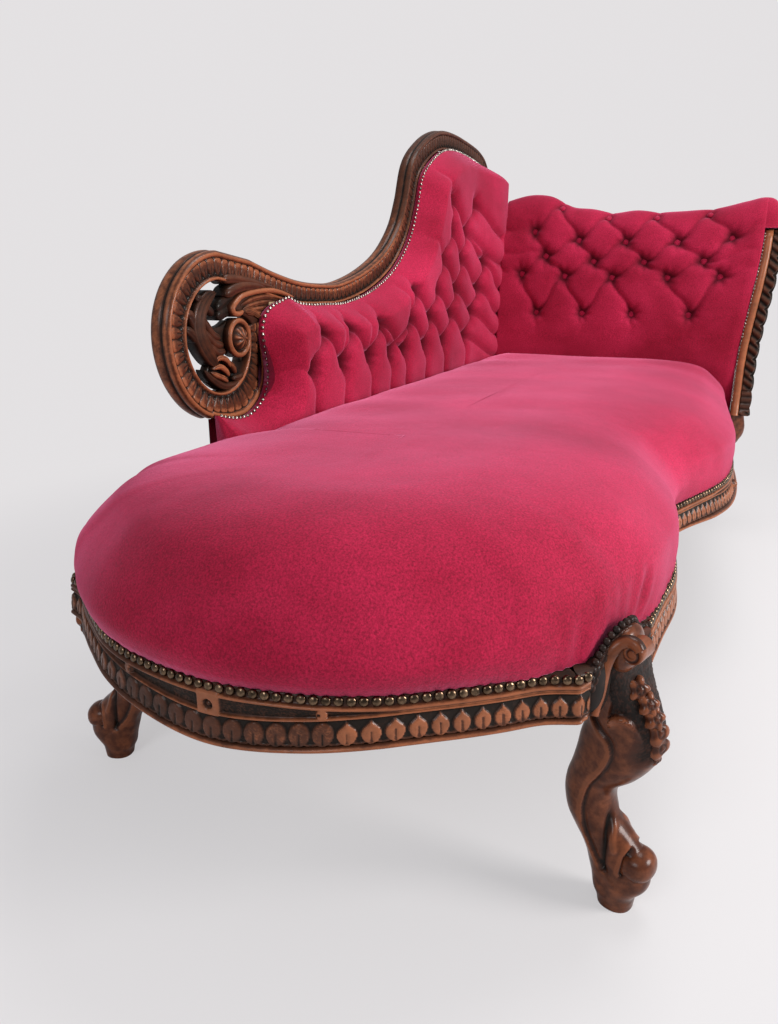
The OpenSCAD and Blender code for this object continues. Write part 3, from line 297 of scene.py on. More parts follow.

# %% [markdown]
# ### Carved walnut
# Old carved walnut is almost black in the recesses, where wax and dust settle, and worn to orange-brown on
# the ridges; the dark of the recesses here is also painted shade. The carving below writes how high each
# point stands into an attribute called relief, and the finish turns that into colour and gloss. Grain is
# noise drawn out along the length of the wood.

# %% Walnut
def walnut_finish(name, deep, middle, worn, carved=True, gloss=0.34):
    finish, tree, shader = new_finish(name)
    grain = noise(tree, 55, 6, (0.16, 0.5, 1.0), 0.7)
    figure = noise(tree, 6, 3, (1, 1, 0.4))
    tone = ramp(tree, grain, (0.25, (0.62, 0.62, 0.62)), (0.7, (1.3, 1.22, 1.15)))
    wood = blend(tree, figure, middle, worn)
    if carved:
        height = node(tree, "ShaderNodeAttribute", attribute_name="relief").outputs["Fac"]
        # Low relief, with some noise, turns the wood dark: wax and dust in the recesses, and painted shade
        # there too
        dirt_and_shade = node(tree, "ShaderNodeMath", operation="MULTIPLY_ADD")
        tree.links.new(noise(tree, 90, 4), dirt_and_shade.inputs[0])
        dirt_and_shade.inputs[1].default_value = 0.5
        tree.links.new(height, dirt_and_shade.inputs[2])
        wood = blend(tree, ramp(tree, dirt_and_shade.outputs[0], (0.3, 0.0), (0.78, 1.0)), deep, middle)
        wood = blend(tree, ramp(tree, dirt_and_shade.outputs[0], (0.8, 0.0), (1.22, 1.0)), wood, worn)
        rough = ramp(tree, dirt_and_shade.outputs[0], (0.3, 0.7), (0.75, gloss))
    else:
        rough = ramp(tree, figure, (0.3, gloss + 0.14), (0.7, gloss))
    tree.links.new(blend(tree, 1.0, wood, tone, "MULTIPLY"), shader.inputs["Base Color"])
    tree.links.new(rough, shader.inputs["Roughness"])
    shader.inputs["Specular IOR Level"].default_value = 0.12
    shader.inputs["Coat Weight"].default_value = 0.12
    shader.inputs["Coat Roughness"].default_value = 0.14
    bumpy(tree, shader, (grain, 0.22, 0.0008), (noise(tree, 260, 3), 0.2, 0.0006))
    return finish


carved_walnut = walnut_finish(
    "carved_walnut", (0.010, 0.006, 0.004), (0.078, 0.027, 0.014), (0.25, 0.088, 0.041))
leg_walnut = walnut_finish(
    "leg_walnut", (0.008, 0.005, 0.004), (0.062, 0.019, 0.010), (0.17, 0.055, 0.025), gloss=0.28)
plain_walnut = walnut_finish("plain_walnut", None, (0.07, 0.026, 0.013), (0.15, 0.058, 0.026), carved=False)
print("walnut made")

# %% [markdown]
# ### Nails, beech, cloth and steel
# The domed nails are brass gone dark, with a bright rubbed top. The inner frame is pale sawn beech, the
# webbing and hessian are coarse jute, and the underside is closed with thin black cotton.

# %% The other finishes
def brass_finish(name, dark, bright):
    finish, tree, shader = new_finish(name)
    patina = ramp(tree, noise(tree, 160, 3), (0.35, dark), (0.7, bright))
    tree.links.new(patina, shader.inputs["Base Color"])
    shader.inputs["Metallic"].default_value = 1.0
    tree.links.new(ramp(tree, noise(tree, 220, 2), (0.3, 0.18), (0.7, 0.34)), shader.inputs["Roughness"])
    bumpy(tree, shader, (noise(tree, 400, 2), 0.2, 0.0004))
    return finish


def cloth_finish(name, dark, light, threads, rough=0.9):
    finish, tree, shader = new_finish(name)
    place = node(tree, "ShaderNodeTexCoord").outputs["Object"]
    weave = [node(tree, "ShaderNodeTexWave", Scale=threads, Distortion=0.6, bands_direction=way)
             for way in "XYZ"]
    for wave in weave:
        tree.links.new(place, wave.inputs["Vector"])
    both = blend(tree, 0.5, weave[0].outputs["Color"], weave[1].outputs["Color"])
    both = blend(tree, 0.33, both, weave[2].outputs["Color"])
    colour = blend(tree, both, dark, light)
    worn = ramp(tree, noise(tree, 30, 4), (0.3, 0.75), (0.7, 1.15))
    tree.links.new(blend(tree, 1.0, colour, worn, "MULTIPLY"), shader.inputs["Base Color"])
    shader.inputs["Roughness"].default_value = rough
    bumpy(tree, shader, (both, 0.5, 0.0008))
    return finish


def beech_finish():
    finish, tree, shader = new_finish("sawn_beech")
    grain = noise(tree, 60, 5, (0.12, 0.5, 1), 0.65)
    colour = ramp(tree, grain, (0.3, (0.36, 0.22, 0.11)), (0.7, (0.6, 0.42, 0.24)))
    tree.links.new(colour, shader.inputs["Base Color"])
    shader.inputs["Roughness"].default_value = 0.72
    bumpy(tree, shader, (grain, 0.3, 0.001))
    return finish


def steel_finish():
    finish, tree, shader = new_finish("spring_steel")
    tree.links.new(ramp(tree, noise(tree, 40, 4), (0.3, (0.16, 0.13, 0.11)), (0.7, (0.42, 0.4, 0.38))),
                   shader.inputs["Base Color"])
    shader.inputs["Metallic"].default_value = 1.0
    tree.links.new(ramp(tree, noise(tree, 90, 3), (0.3, 0.35), (0.7, 0.6)), shader.inputs["Roughness"])
    return finish


dark_brass = brass_finish("dark_brass", (0.05, 0.034, 0.022), (0.2, 0.13, 0.08))
bright_brass = brass_finish("rubbed_brass", (0.17, 0.14, 0.12), (0.52, 0.46, 0.42))
beech = beech_finish()
steel = steel_finish()
jute = cloth_finish("jute", (0.2, 0.13, 0.065), (0.48, 0.36, 0.21), 130)
black_cotton = cloth_finish("black_cotton", (0.008, 0.008, 0.009), (0.028, 0.027, 0.03), 380)
print("other finishes made")

# %% [markdown]
# ## Floor and light
# The couch stands on a plain pale floor that keeps its shadow. Far from the couch the floor fades into the
# same pale tone as the background, but only for what the camera sees, so the background adds no light of its
# own. The light is a large soft lamp in front of the couch, a weaker one at the foot, one above, and an even
# world.

# %% Floor and background
PALE = (0.775, 0.755, 0.765)
FLOOR_TONE = (0.74, 0.725, 0.73)
FADE_FROM, FADE_TO = 0.8, 1.8
FLOOR_HALF = 9


def seen_directly(tree):
    """1 for the camera's rays and those that pass through, 0 for the rays that light things."""
    path = node(tree, "ShaderNodeLightPath")
    both = node(tree, "ShaderNodeMath", operation="MAXIMUM")
    tree.links.new(path.outputs["Is Camera Ray"], both.inputs[0])
    tree.links.new(path.outputs["Is Transmission Ray"], both.inputs[1])
    return both.outputs[0]


def floor_finish():
    finish, tree, shader = new_finish("pale_floor")
    shader.inputs["Base Color"].default_value = (*FLOOR_TONE, 1)
    shader.inputs["Roughness"].default_value = 0.9
    shader.inputs["Specular IOR Level"].default_value = 0.1
    place = node(tree, "ShaderNodeTexCoord").outputs["Object"]
    away = node(tree, "ShaderNodeVectorMath", operation="LENGTH")
    tree.links.new(place, away.inputs[0])
    share = node(tree, "ShaderNodeMapRange", interpolation_type="SMOOTHSTEP")
    # From FADE_FROM to FADE_TO, in metres, the floor fades into the background
    share.inputs["From Min"].default_value = FADE_FROM
    share.inputs["From Max"].default_value = FADE_TO
    share.inputs["To Min"].default_value = 0.58
    tree.links.new(away.outputs["Value"], share.inputs["Value"])
    only_seen = node(tree, "ShaderNodeMath", operation="MULTIPLY")
    tree.links.new(share.outputs["Result"], only_seen.inputs[0])
    tree.links.new(seen_directly(tree), only_seen.inputs[1])
    glow = node(tree, "ShaderNodeEmission", Color=(*PALE, 1), Strength=1.0)
    mixed = node(tree, "ShaderNodeMixShader")
    tree.links.new(only_seen.outputs[0], mixed.inputs["Fac"])
    tree.links.new(shader.outputs["BSDF"], mixed.inputs[1])
    tree.links.new(glow.outputs["Emission"], mixed.inputs[2])
    tree.links.new(mixed.outputs["Shader"], tree.nodes["Material Output"].inputs["Surface"])
    return finish


corners = [(x * FLOOR_HALF, y * FLOOR_HALF, 0) for x, y in ((-1, -1), (1, -1), (1, 1), (-1, 1))]
floor_mesh = bpy.data.meshes.new("floor")
floor_mesh.from_pydata(corners, [], [(0, 1, 2, 3)])
floor = bpy.data.objects.new("floor", floor_mesh)
scene.collection.objects.link(floor)
floor_mesh.materials.append(floor_finish())

world = bpy.data.worlds.new("studio")
scene.world = world
world.use_nodes = True
air = world.node_tree
background = air.nodes["Background"]
background.inputs["Strength"].default_value = 0.42
shown = node(air, "ShaderNodeBackground", Color=(*PALE, 1), Strength=1.0)
background.inputs["Color"].default_value = (0.95, 0.96, 1.0, 1)
either = node(air, "ShaderNodeMixShader")
air.links.new(seen_directly(air), either.inputs["Fac"])
air.links.new(background.outputs[0], either.inputs[1])
air.links.new(shown.outputs[0], either.inputs[2])
air.links.new(either.outputs[0], air.nodes["World Output"].inputs["Surface"])


# %% Lamps
def lamp(name, place, target, size, power, tint=(1, 1, 1)):
    data = bpy.data.lights.new(name, "AREA")
    data.shape, data.size, data.energy, data.color = "DISK", size, power, tint
    obj = bpy.data.objects.new(name, data)
    scene.collection.objects.link(obj)
    obj.location = place
    aim = np.array(target) - np.array(place)
    tilt = math.atan2(np.hypot(aim[0], aim[1]), -aim[2])
    obj.rotation_euler = (tilt, 0, math.atan2(aim[1], aim[0]) - math.pi / 2)
    return obj


lamp("key", (-0.15, -3.1, 1.6), (0, 0, 0.5), 1.4, 120, (1, 0.97, 0.95))
lamp("fill", (-2.9, 0.2, 1.9), (0, 0, 0.4), 1.2, 25, (0.95, 0.98, 1))
lamp("top", (0.6, -0.4, 3.2), (0.3, 0, 0.4), 1.6, 44)

# %% [markdown]
# ## Setting out
# The same few lines that the joiner sets out decide every piece: the bowed foot rail, the serpentine front
# rail with its waist and its lobe, and the sweep of the back. They are written as shares of the couch's own
# sizes, as in its drawing, so a reader can see that the waist lies a third of the way along.

# %% Main places of the couch
RAIL_TOP, RAIL_H, RAIL_T = 300, 46, 45
FOOT_X, HEAD_X, FRONT_Y = -904, 904, -411
AXIS_Y = 33
EDGE_X = FOOT_X + 13
# The foot rail bows by FOOT_BOW, and beyond it a foot leg takes up LEG_RUN by LEG_STEP of the outline
FOOT_BOW, LEG_RUN, LEG_STEP = 139, 141, 44
RAIL_END_X, RAIL_END_DY = EDGE_X + FOOT_BOW, 293
SIDE_X, SIDE_DY = RAIL_END_X + LEG_RUN, RAIL_END_DY + LEG_STEP
BACK_Y, FRONT_START_Y = AXIS_Y + SIDE_DY, AXIS_Y - SIDE_DY
BLOCK_X = HEAD_X - 204
LOBE_REACH, WAIST_DIP = 65, 20
FRAME_Y, FRAME_T = BACK_Y - 30, 32
VOL = np.array([FOOT_X + 497, 550.0])
VOL_R, VOL_WIND, FACE_W = 101, 12, 41
HEAD_FACE_X, HEAD_D, HEAD_Z, HEAD_FRONT_Y = HEAD_X - 145, 145, 790, FRONT_Y + 56
SEAT_Z, CREST_Z, PAD_T, SOFT_GAP = 440, 967, 54, 0.4
COVER_Z = RAIL_TOP + SOFT_GAP
RAIL_STEP = 1.25

foot_shares = [[0, 0], [0.28, 0.085], [0.49, 0.25], [0.66, 0.49], [0.79, 0.7], [0.9, 0.9], [1, 1]]
foot_turns = [[EDGE_X + q[1] * FOOT_BOW, AXIS_Y + q[0] * RAIL_END_DY] for q in foot_shares[::-1]]
foot_turns += [[x, 2 * AXIS_Y - y] for x, y in foot_turns[-2::-1]]
foot_line = even(curve(foot_turns, 20), RAIL_STEP)

# Shares along the rail, out to the lobe, and in to the waist
front_shares = [
    [0, 0, 0], [0.05, 0.07, 0], [0.105, 0.17, 0], [0.15, 0.14, 0], [0.2, 0, 0], [0.25, 0, 0.65],
    [0.298, 0, 1], [0.335, 0, 0.7], [0.37, 0.02, 0], [0.41, 0.31, 0], [0.46, 0.66, 0], [0.52, 0.92, 0],
    [0.6, 1, 0], [0.7, 0.92, 0], [0.83, 0.71, 0], [1, 0.52, 0]]
front_turns = [[mix(SIDE_X, BLOCK_X, along), FRONT_START_Y - lobe * LOBE_REACH + waist * WAIST_DIP]
               for along, lobe, waist in front_shares]
front_line = even(curve(front_turns, 20), RAIL_STEP)
front_end = front_line[-1]
print("foot rail", round(lengths(foot_line)[-1]), "mm, front rail", round(lengths(front_line)[-1]), "mm")

# %% Line of the back's show frame, from the stile up and over to the scroll
frame_end_x = HEAD_X - 26
frame_run = frame_end_x - VOL[0]
volute_top = VOL[1] + VOL_R
crest_rise = CREST_Z - FACE_W / 2 - volute_top
sweep_shares = [
    [1, 0.74], [0.985, 0.88], [0.94, 0.955], [0.86, 0.99], [0.77, 1], [0.7, 0.965], [0.635, 0.855],
    [0.585, 0.7], [0.558, 0.45], [0.525, 0.24], [0.465, 0.05], [0.385, -0.08], [0.3, -0.15], [0.238, -0.155],
    [0.175, -0.14], [0.115, -0.095], [0.06, -0.035]]
sweep = curve([[VOL[0] + x * frame_run, volute_top + z * crest_rise] for x, z in sweep_shares], 12)
turn = np.linspace(0, 1, 160)
volute_radius = VOL_R - VOL_WIND * smooth((turn - 0.55) / 0.45) + 5 * bump(turn - 0.27, 0.16)
volute_angle = np.radians(90 + 280 * turn)
volute = VOL + volute_radius[:, None] * np.stack([np.cos(volute_angle), np.sin(volute_angle)], 1)
stile_shares = [[0.967, 0], [0.967, 0.3], [0.985, 0.62], [0.997, 0.86]]
stile = [[VOL[0] + x * frame_run, COVER_Z + z * (sweep[0, 1] - COVER_Z)] for x, z in stile_shares]
frame_line = even(np.vstack([curve(stile + [sweep[0]], 10)[:-1], sweep, volute[1:]]), 1.4)


def face_width(x):
    """Width of the show frame's face, widest on the steep part of the sweep and narrowest in the dip."""
    t = (x - VOL[0]) / frame_run
    return FACE_W * (1 + 0.1 * bump(t - 0.56, 0.12) - 0.14 * bump(t - 0.26, 0.1))


frame_in = -side(frame_line)
inner_edge = frame_line + frame_in * (face_width(frame_line[:, 0]) / 2)[:, None]
in_sweep = (lengths(frame_line) < lengths(frame_line)[-1] - lengths(volute)[-1]) & (frame_line[:, 1] > 560)
print("show frame", round(lengths(frame_line)[-1]), "mm")

# %% [markdown]
# ## Seat
# The seat is one sprung cushion under a single cover, drawn tight and nailed along the rails. Its crown is
# almost flat, and its side stands nearly straight up before it rolls over. A sprung and stitched edge is
# firm and keeps its line, so the seat is lofted: one closed outline is repeated at many heights. Small
# relief then makes it cloth: scallops where each nail pulls the edge, pulled folds at the leg tops, and slow
# waves on the crown.

# %% Outline of the seat
SEAT_STEP = 5.5
seat_back_y = FRAME_Y - PAD_T - SOFT_GAP
seat_head_x = HEAD_FACE_X - 2 * SOFT_GAP
pad_left_x = VOL[0] - 0.45 * VOL_R
leg_side = [[mix(RAIL_END_X, SIDE_X, t), mix(RAIL_END_DY, SIDE_DY, t) - 6] for t in (0.37, 0.68)]
seat_plan = [[x, y, 0] for x, y in foot_turns[1:-1]]
seat_plan += [[x, AXIS_Y - dy, 0] for x, dy in leg_side]
seat_plan += [[x, y, 0] for x, y in curve(front_turns, 2)[1::2]]
seat_plan += [[seat_head_x - 26, front_end[1] + 6.5, 0.3], [seat_head_x, front_end[1] + 52, 1],
              [seat_head_x, (front_end[1] + seat_back_y) / 2, 1], [seat_head_x, seat_back_y - 26, 1]]
seat_plan += [[mix(pad_left_x, seat_head_x, t), seat_back_y, 1] for t in (0.98, 0.8, 0.6, 0.4, 0.2, 0)]
seat_plan += [[pad_left_x - 18, mix(seat_back_y, BACK_Y, 0.45), 0.3], [pad_left_x - 52, BACK_Y - 9, 0],
              [SIDE_X, BACK_Y, 0]]
seat_plan += [[x, AXIS_Y + dy, 0] for x, dy in leg_side[::-1]]
seat_loop = even(np.vstack([loop_curve(seat_plan, 12), [seat_plan[0]]]), SEAT_STEP)[:-1]
seat_out = side(seat_loop[:, :2], closed=True)
print("seat outline", len(seat_loop), "points")

# %% Waves, scallops and folds of the cover
def slow_waves(x, y, seed, count=9, low=120, high=420):
    """A sum of a few slow ripples, from -1 to 1."""
    r = np.random.default_rng(seed)
    total = 0
    for _ in range(count):
        way, size, start = r.uniform(0, math.tau), r.uniform(low, high), r.uniform(0, math.tau)
        total = total + np.sin((x * math.cos(way) + y * math.sin(way)) * math.tau / size + start)
    return total / count


def near_segment(points, a, b):
    """Distance to a straight segment, and how far along it the nearest place is."""
    a, b = np.asarray(a, float), np.asarray(b, float)
    t = np.clip(((points - a) @ (b - a)) / ((b - a) @ (b - a)), 0, 1)
    return np.linalg.norm(points - a - t[..., None] * (b - a), axis=-1), t


# Each pulled fold: where it starts at the nails, where it dies out, its width, and its depth
leg_folds = [
    ((-724, -272, 306), (-696, -292, 396), 7, 7.0),
    ((-740, -262, 304), (-738, -266, 390), 9, 4.6),
    ((-708, -282, 318), (-684, -293, 374), 5, 4.0),
    ((-668, -296, 330), (-648, -300, 412), 6, 5.4),
    ((-690, -291, 332), (-674, -295, 404), 6, 5.0),
    ((-640, -301, 312), (-600, -304, 372), 8, 4.0)]
leg_folds += [(tuple([a[0], 2 * AXIS_Y - a[1], a[2]]), tuple([b[0], 2 * AXIS_Y - b[1], b[2]]), w, d)
              for a, b, w, d in leg_folds]

# Shares of the seat's section from the rail up: out by the bulge, in to the middle, and up
seat_shares = curve([
    [0, 0, 0], [0.75, 0, 0.1], [1, 0, 0.24], [0.2, 0.01, 0.44], [0, 0.085, 0.63], [0, 0.18, 0.79],
    [0, 0.34, 0.91], [0, 0.56, 0.98], [0, 0.78, 0.995], [0, 0.97, 1]], 9)
SEAT_BULGE, TUCK_IN, HOLLOW_Z = 13, 34, 358.0


def seat_surface():
    """The seat's skin as rings from below up, and how deep each point lies in a fold, which is painted there
    as shade.
    """
    p, wall, n = seat_loop[:, :2], seat_loop[:, 2], seat_out
    foot = np.where(p[:, 0] < SIDE_X, smooth((1.04 - np.abs(p[:, 1] - AXIS_Y) / RAIL_END_DY) / 0.4), 0)
    waist = np.where(p[:, 1] < 0, bump((p[:, 0] - SIDE_X) / (BLOCK_X - SIDE_X) - 0.3, 0.08), 0)
    bulge = mix(0.15, 1, np.maximum(foot, waist)) * SEAT_BULGE * (1 - wall)
    centre = np.stack([np.clip(p[:, 0], EDGE_X + 250, seat_head_x - 250), np.full(len(p), AXIS_Y - 18.0)], 1)
    around = np.arange(len(p)) * SEAT_STEP
    # The seat turns gently from a free edge to one that stands against the back or the head
    window = np.hanning(65) / np.hanning(65).sum()
    turned = np.convolve(np.concatenate([wall[-32:], wall, wall[:32]]), window, "valid")
    rings = []
    for out, way, rise in seat_shares:
        low = 1 - smooth(rise / 0.16)
        scallop = -1.3 * np.cos(around * math.tau / 12.8) * low * (1 - wall)
        xy = p + n * (out * bulge + scallop)[:, None]
        xy = mix(xy, centre, (way * (1 - 0.35 * turned * (1 - smooth((way - 0.45) / 0.5))))[:, None])
        lift = mix(rise, 1 - (1 - rise) ** 2, 0.5 * turned)
        z = COVER_Z + (SEAT_Z - RAIL_TOP - SOFT_GAP) * lift
        z = z + 2.4 * slow_waves(xy[:, 0], xy[:, 1], 3) * smooth((rise - 0.6) / 0.3)
        ripple = 1.4 * slow_waves(around, rise * 90, 5, low=70, high=260) * (1 - way)
        xy = xy + n * (ripple * (1 - wall) * smooth(rise / 0.2))[:, None]
        rings.append(np.column_stack([xy, z]))
    grid = np.array(rings)
    flat = np.concatenate([n, np.zeros((len(n), 1))], 1)
    fold_painted_shade = np.zeros(grid.shape[:2])
    for a, b, width, depth in leg_folds:
        d, t = near_segment(grid, a, b)
        dent = depth * (bump(d, width) - 0.45 * bump(d - 1.7 * width, width * 0.8)) * smooth((1 - t) / 0.6)
        grid = grid - flat[None] * dent[..., None]
        # The deeper a leg fold, the more painted shade its cloth gets
        fold_painted_shade = np.maximum(fold_painted_shade, 0.1 * dent)
    # Below, the cover turns in over the rail and closes under the stuffing
    closed = mix(p - n * TUCK_IN, centre, 0.9 * (1 - 0.35 * wall)[:, None])
    tucked = p - n * TUCK_IN * (1 - 0.5 * wall)[:, None]
    under = [np.column_stack([closed, np.full(len(p), HOLLOW_Z)]),
             np.column_stack([tucked, np.full(len(p), HOLLOW_Z)]),
             np.column_stack([p - n * 9, np.full(len(p), COVER_Z)])]
    return np.concatenate([np.array(under), grid]), np.pad(fold_painted_shade, ((3, 0), (0, 0)))


seat_grid, seat_painted_shade = seat_surface()
seat = closed_piece("seat_cushion", seat_grid, seat_painted_shade, velvet, "velvet", "seat_cover", "seat_stuffing")

# %% [markdown]
# ## Deep buttoning
# On a buttoned back the velvet is cut too large and pulled through the stuffing at each button, and the
# spare cloth lies in sharp folds from button to button. Between them the stuffing swells. So the relief has
# three parts: a crease along each fold, a pit at each button, and small puckers round the pit. All three
# only need the distance to the nearest fold or button, measured on the flat cloth.

# %% Relief of buttoned cloth
def tufting(points, buttons, folds, pit=22, crease=15, seed=1, broad=11):
    """How far each point of the cloth is drawn in, in millimetres. `folds` are (button, end, strength)."""
    # A fold bends a little to either side of its straight line, and is steeper on one flank
    near_fold = np.zeros(points.shape[:-1])
    for k, (a, b, strength) in enumerate(folds):
        _, t = near_segment(points, a, b)
        ab = np.subtract(b, a)
        off = points - a
        size = np.linalg.norm(ab)
        bend = (5.5 if k % 2 else 4) * np.sin(math.tau * t)
        aside = (ab[0] * off[..., 1] - ab[1] * off[..., 0]) / size - bend
        past = np.abs((off @ ab) / size - t * size)
        d = np.hypot(aside * np.where(aside > 0, 1.12, 0.92), past)
        fade = strength * (1 - 0.2 * bump(t - 0.5, 0.25))
        near_fold = np.maximum(near_fold, fade * np.exp(-np.sqrt(d * d + 1.2) / broad))
    near_button = np.zeros(points.shape[:-1])
    puckers = np.zeros(points.shape[:-1])
    r = np.random.default_rng(seed)
    for b in buttons:
        off = points - b
        d = np.linalg.norm(off, axis=-1)
        near_button = np.maximum(near_button, np.exp(-(d / 16) ** 1.4))
        around = np.arctan2(off[..., 1], off[..., 0])
        puckers += np.sin(around * r.integers(5, 8) + r.uniform(0, math.tau)) * bump(d - 17, 10)
    return crease * near_fold + pit * near_button + 1.1 * puckers


def fold_shade(drawn, start, full):
    """How dark the cloth is where it is drawn in, from 0 to 1."""
    return 0.85 * np.clip((drawn - start) / (full - start), 0, 1) ** 1.2


def diamond_folds(rows, reach, strength=1.0):
    """Folds from every button to its neighbours in the next row up."""
    folds = []
    for low, high in zip(rows, rows[1:]):
        for a in low:
            for b in high:
                if np.linalg.norm(np.subtract(a, b)) < reach and abs(a[1] - b[1]) > 12:
                    folds.append((a, b, strength))
    return folds


BUTTON_R = 8.5
# A button's dome in shares of its radius: out from its middle, and up from the cloth
dome = [(0.0, 0.0), (0.98, 0.0), (1.06, 0.14), (1.0, 0.38), (0.82, 0.58), (0.5, 0.7), (0.18, 0.74),
        (0.02, 0.745)]


def domes(places, normals, radius, shape, sides=18):
    """Round domes of the same shape on a surface, as one mesh's points and faces."""
    points, faces = [], []
    for p, n in zip(places, normals):
        n = n / np.linalg.norm(n)
        u = unit(np.cross(n, [0.31, 0.2, 0.93]))
        v = np.cross(n, u)
        start = len(points)
        for r, h in shape:
            for k in range(sides):
                a = math.tau * k / sides
                points.append(p + radius * (r * (math.cos(a) * u + math.sin(a) * v) + h * n))
        faces += (grid_faces(len(shape), sides) + start).tolist()
        faces.append([start + len(shape) * sides - sides + k for k in range(sides)])
        faces.append([start + k for k in range(sides - 1, -1, -1)])
    return points, faces


# %% [markdown]
# ## Back upholstery
# The back pad fills the space under the show frame. It is laid out on a ruled surface: each line runs from
# the top of the rail, behind the seat, up to the edge of the carved frame, round the scroll and along the
# sweep. The pad swells out from that nailed edge within a hand's width and is deepest in the corner by the
# head.

# %% Edge of the back pad along the carving
scroll_side = curve([
    (-443, 440), (-419, 433), (-387, 428), (-357, 431), (-325, 447), (-309, 468), (-306, 489), (-308, 510),
    (-313, 530), (-316, 552), (-311, 572), (-290, 588), (-263, 596), (-234, 602)], 6)
under_sweep = inner_edge[in_sweep & (inner_edge[:, 0] > -205) & (inner_edge[:, 0] < 842)][::-1] + [0, -0.8]
velvet_edge = even(curve(even(np.vstack([scroll_side, under_sweep]), 20), 8), 3.2)
print("nailed edge of the back", round(lengths(velvet_edge)[-1]), "mm,", len(velvet_edge), "points")

# %% Back pad
# For each row its height between the seat and the crest, and its buttons' shares along the back
back_rows = [
    [0.09, [0.06, 0.164, 0.27, 0.36, 0.435, 0.545, 0.66, 0.81]],
    [0.2, [0.1, 0.2, 0.32, 0.467, 0.575, 0.705, 0.855]],
    [0.31, [0.493, 0.613, 0.735, 0.89]],
    [0.436, [0.652, 0.77, 0.92]],
    [0.56, [0.705, 0.8]],
    [0.69, [0.7, 0.85]]]
back_x0 = VOL[0] + VOL_R - VOL_WIND + FACE_W / 2 + 4
back_run = HEAD_FACE_X - back_x0
back_buttons = [[np.array([back_x0 + s * back_run, SEAT_Z + h * (CREST_Z - SEAT_Z)]) for s in row]
                for h, row in back_rows]
# Folds run between the buttons, down to the seat, into the corner, and up to the nailed edge
back_folds = diamond_folds(back_buttons, 150)
for b in back_buttons[0]:
    back_folds.append((b, b + [6, -90], 0.8))
for row in back_buttons:
    back_folds.append((row[-1], np.array([HEAD_FACE_X + 8, row[-1][1] - 70]), 0.8))
    for b in row:
        gap = np.linalg.norm(velvet_edge - b, axis=1)
        if gap.min() < 108:
            back_folds.append((b, mix(b, velvet_edge[gap.argmin()], 0.8), 0.4))


def edge_distance(points, line):
    """Distance from each point to a line, taken at every fourth of its points."""
    best = np.full(points.shape[:-1], 1e9)
    for a, b in zip(line[:-1:4], line[4::4]):
        best = np.minimum(best, near_segment(points, a, b)[0])
    return best


def back_surface():
    """The back pad's skin, with its flat layout, its depth, its folds, and the painted shade in them."""
    count = len(velvet_edge)
    t = np.linspace(0, 1, count)
    foot_x = np.interp(lengths(velvet_edge) / lengths(velvet_edge)[-1], [0, 0.22, 1], [-434, -258, 812])
    low = np.column_stack([foot_x, np.full(count, COVER_Z)])
    v = 1 - (1 - np.linspace(0, 1, 150)) ** 1.35
    flat = low[:, None] + v[None, :, None] * (velvet_edge - low)[:, None]
    # The pad is thin at the nailed edge, full a hand's width from it, and deepest in the corner by the head
    edge = edge_distance(flat, velvet_edge)
    top = smooth(edge / 46)
    corner = 24 * smooth((flat[..., 0] - HEAD_FACE_X + 170) / 190)
    left = smooth((flat[..., 0] - pad_left_x + 6) / 46 + 0.15)
    full = mix(9, PAD_T - 9, np.sqrt(top * left)) + corner * top + 11 * top * left
    buttons = [b for row in back_buttons for b in row]
    drawn = tufting(flat, buttons, back_folds, pit=24, crease=18, broad=9) * smooth(edge / 26)
    swell = 5.0 * top
    depth = np.maximum(full + swell - drawn * smooth((flat[..., 1] - 330) / 80), 4.0)
    depth += 0.8 * slow_waves(flat[..., 0], flat[..., 1], 11, low=40, high=160) * top
    rear = FRAME_Y - SOFT_GAP
    front = np.stack([flat[..., 0], rear - depth, flat[..., 1]], -1)
    back = np.stack([flat[..., 0], np.full(flat.shape[:2], rear), flat[..., 1]], -1)
    # Where the cloth is drawn in, its colour gets painted shade
    fold_painted_shade = np.pad(fold_shade(drawn, 5, 22), ((0, 0), (1, 1)))
    return np.concatenate([back[:, :1], front, back[:, -1:]], 1), flat, depth, fold_painted_shade


back_grid, back_flat, back_depth, back_painted_shade = back_surface()
back = closed_piece("back_upholstery", back_grid, back_painted_shade, velvet, "velvet", "back_pad")


# %% Covered buttons of the back
def on_back(b, lift):
    """Where a button of the back sits."""
    i = np.unravel_index(np.argmin(np.linalg.norm(back_flat - b, axis=-1)), back_flat.shape[:2])
    return np.array([b[0], FRAME_Y - SOFT_GAP - back_depth[i] - lift, b[1]])


back_places = [on_back(b, -2.0) for row in back_buttons for b in row]
back_ways = [np.array([0.04, -1, 0.06])] * len(back_places)
back_button_mesh = solid_mesh("back_covered_buttons", *domes(back_places, back_ways, BUTTON_R, dome))
piece("back_covered_buttons", back_button_mesh, velvet, "velvet", "back_buttons")

# %% [markdown]
# ## Head roll
# The head end is a padded wall that leans back and rolls over at the top. Its section is drawn once and
# repeated from the front facing to the corner, rising at both ends. Buttoning is laid out on the unrolled
# section, so the folds run up and over the roll.

# %% Section and buttons of the head
HEAD_STEP = 3.6
head_shares = curve([
    [0.2, 0], [0.06, 0.08], [0, 0.2], [0, 0.34], [0.02, 0.48], [0.07, 0.62], [0.13, 0.76], [0.22, 0.88],
    [0.33, 0.96], [0.49, 1], [0.68, 0.995], [0.85, 0.95], [0.96, 0.87], [1, 0.79], [0.97, 0.73],
    [0.86, 0.7]], 12)
head_rise = HEAD_Z - RAIL_TOP
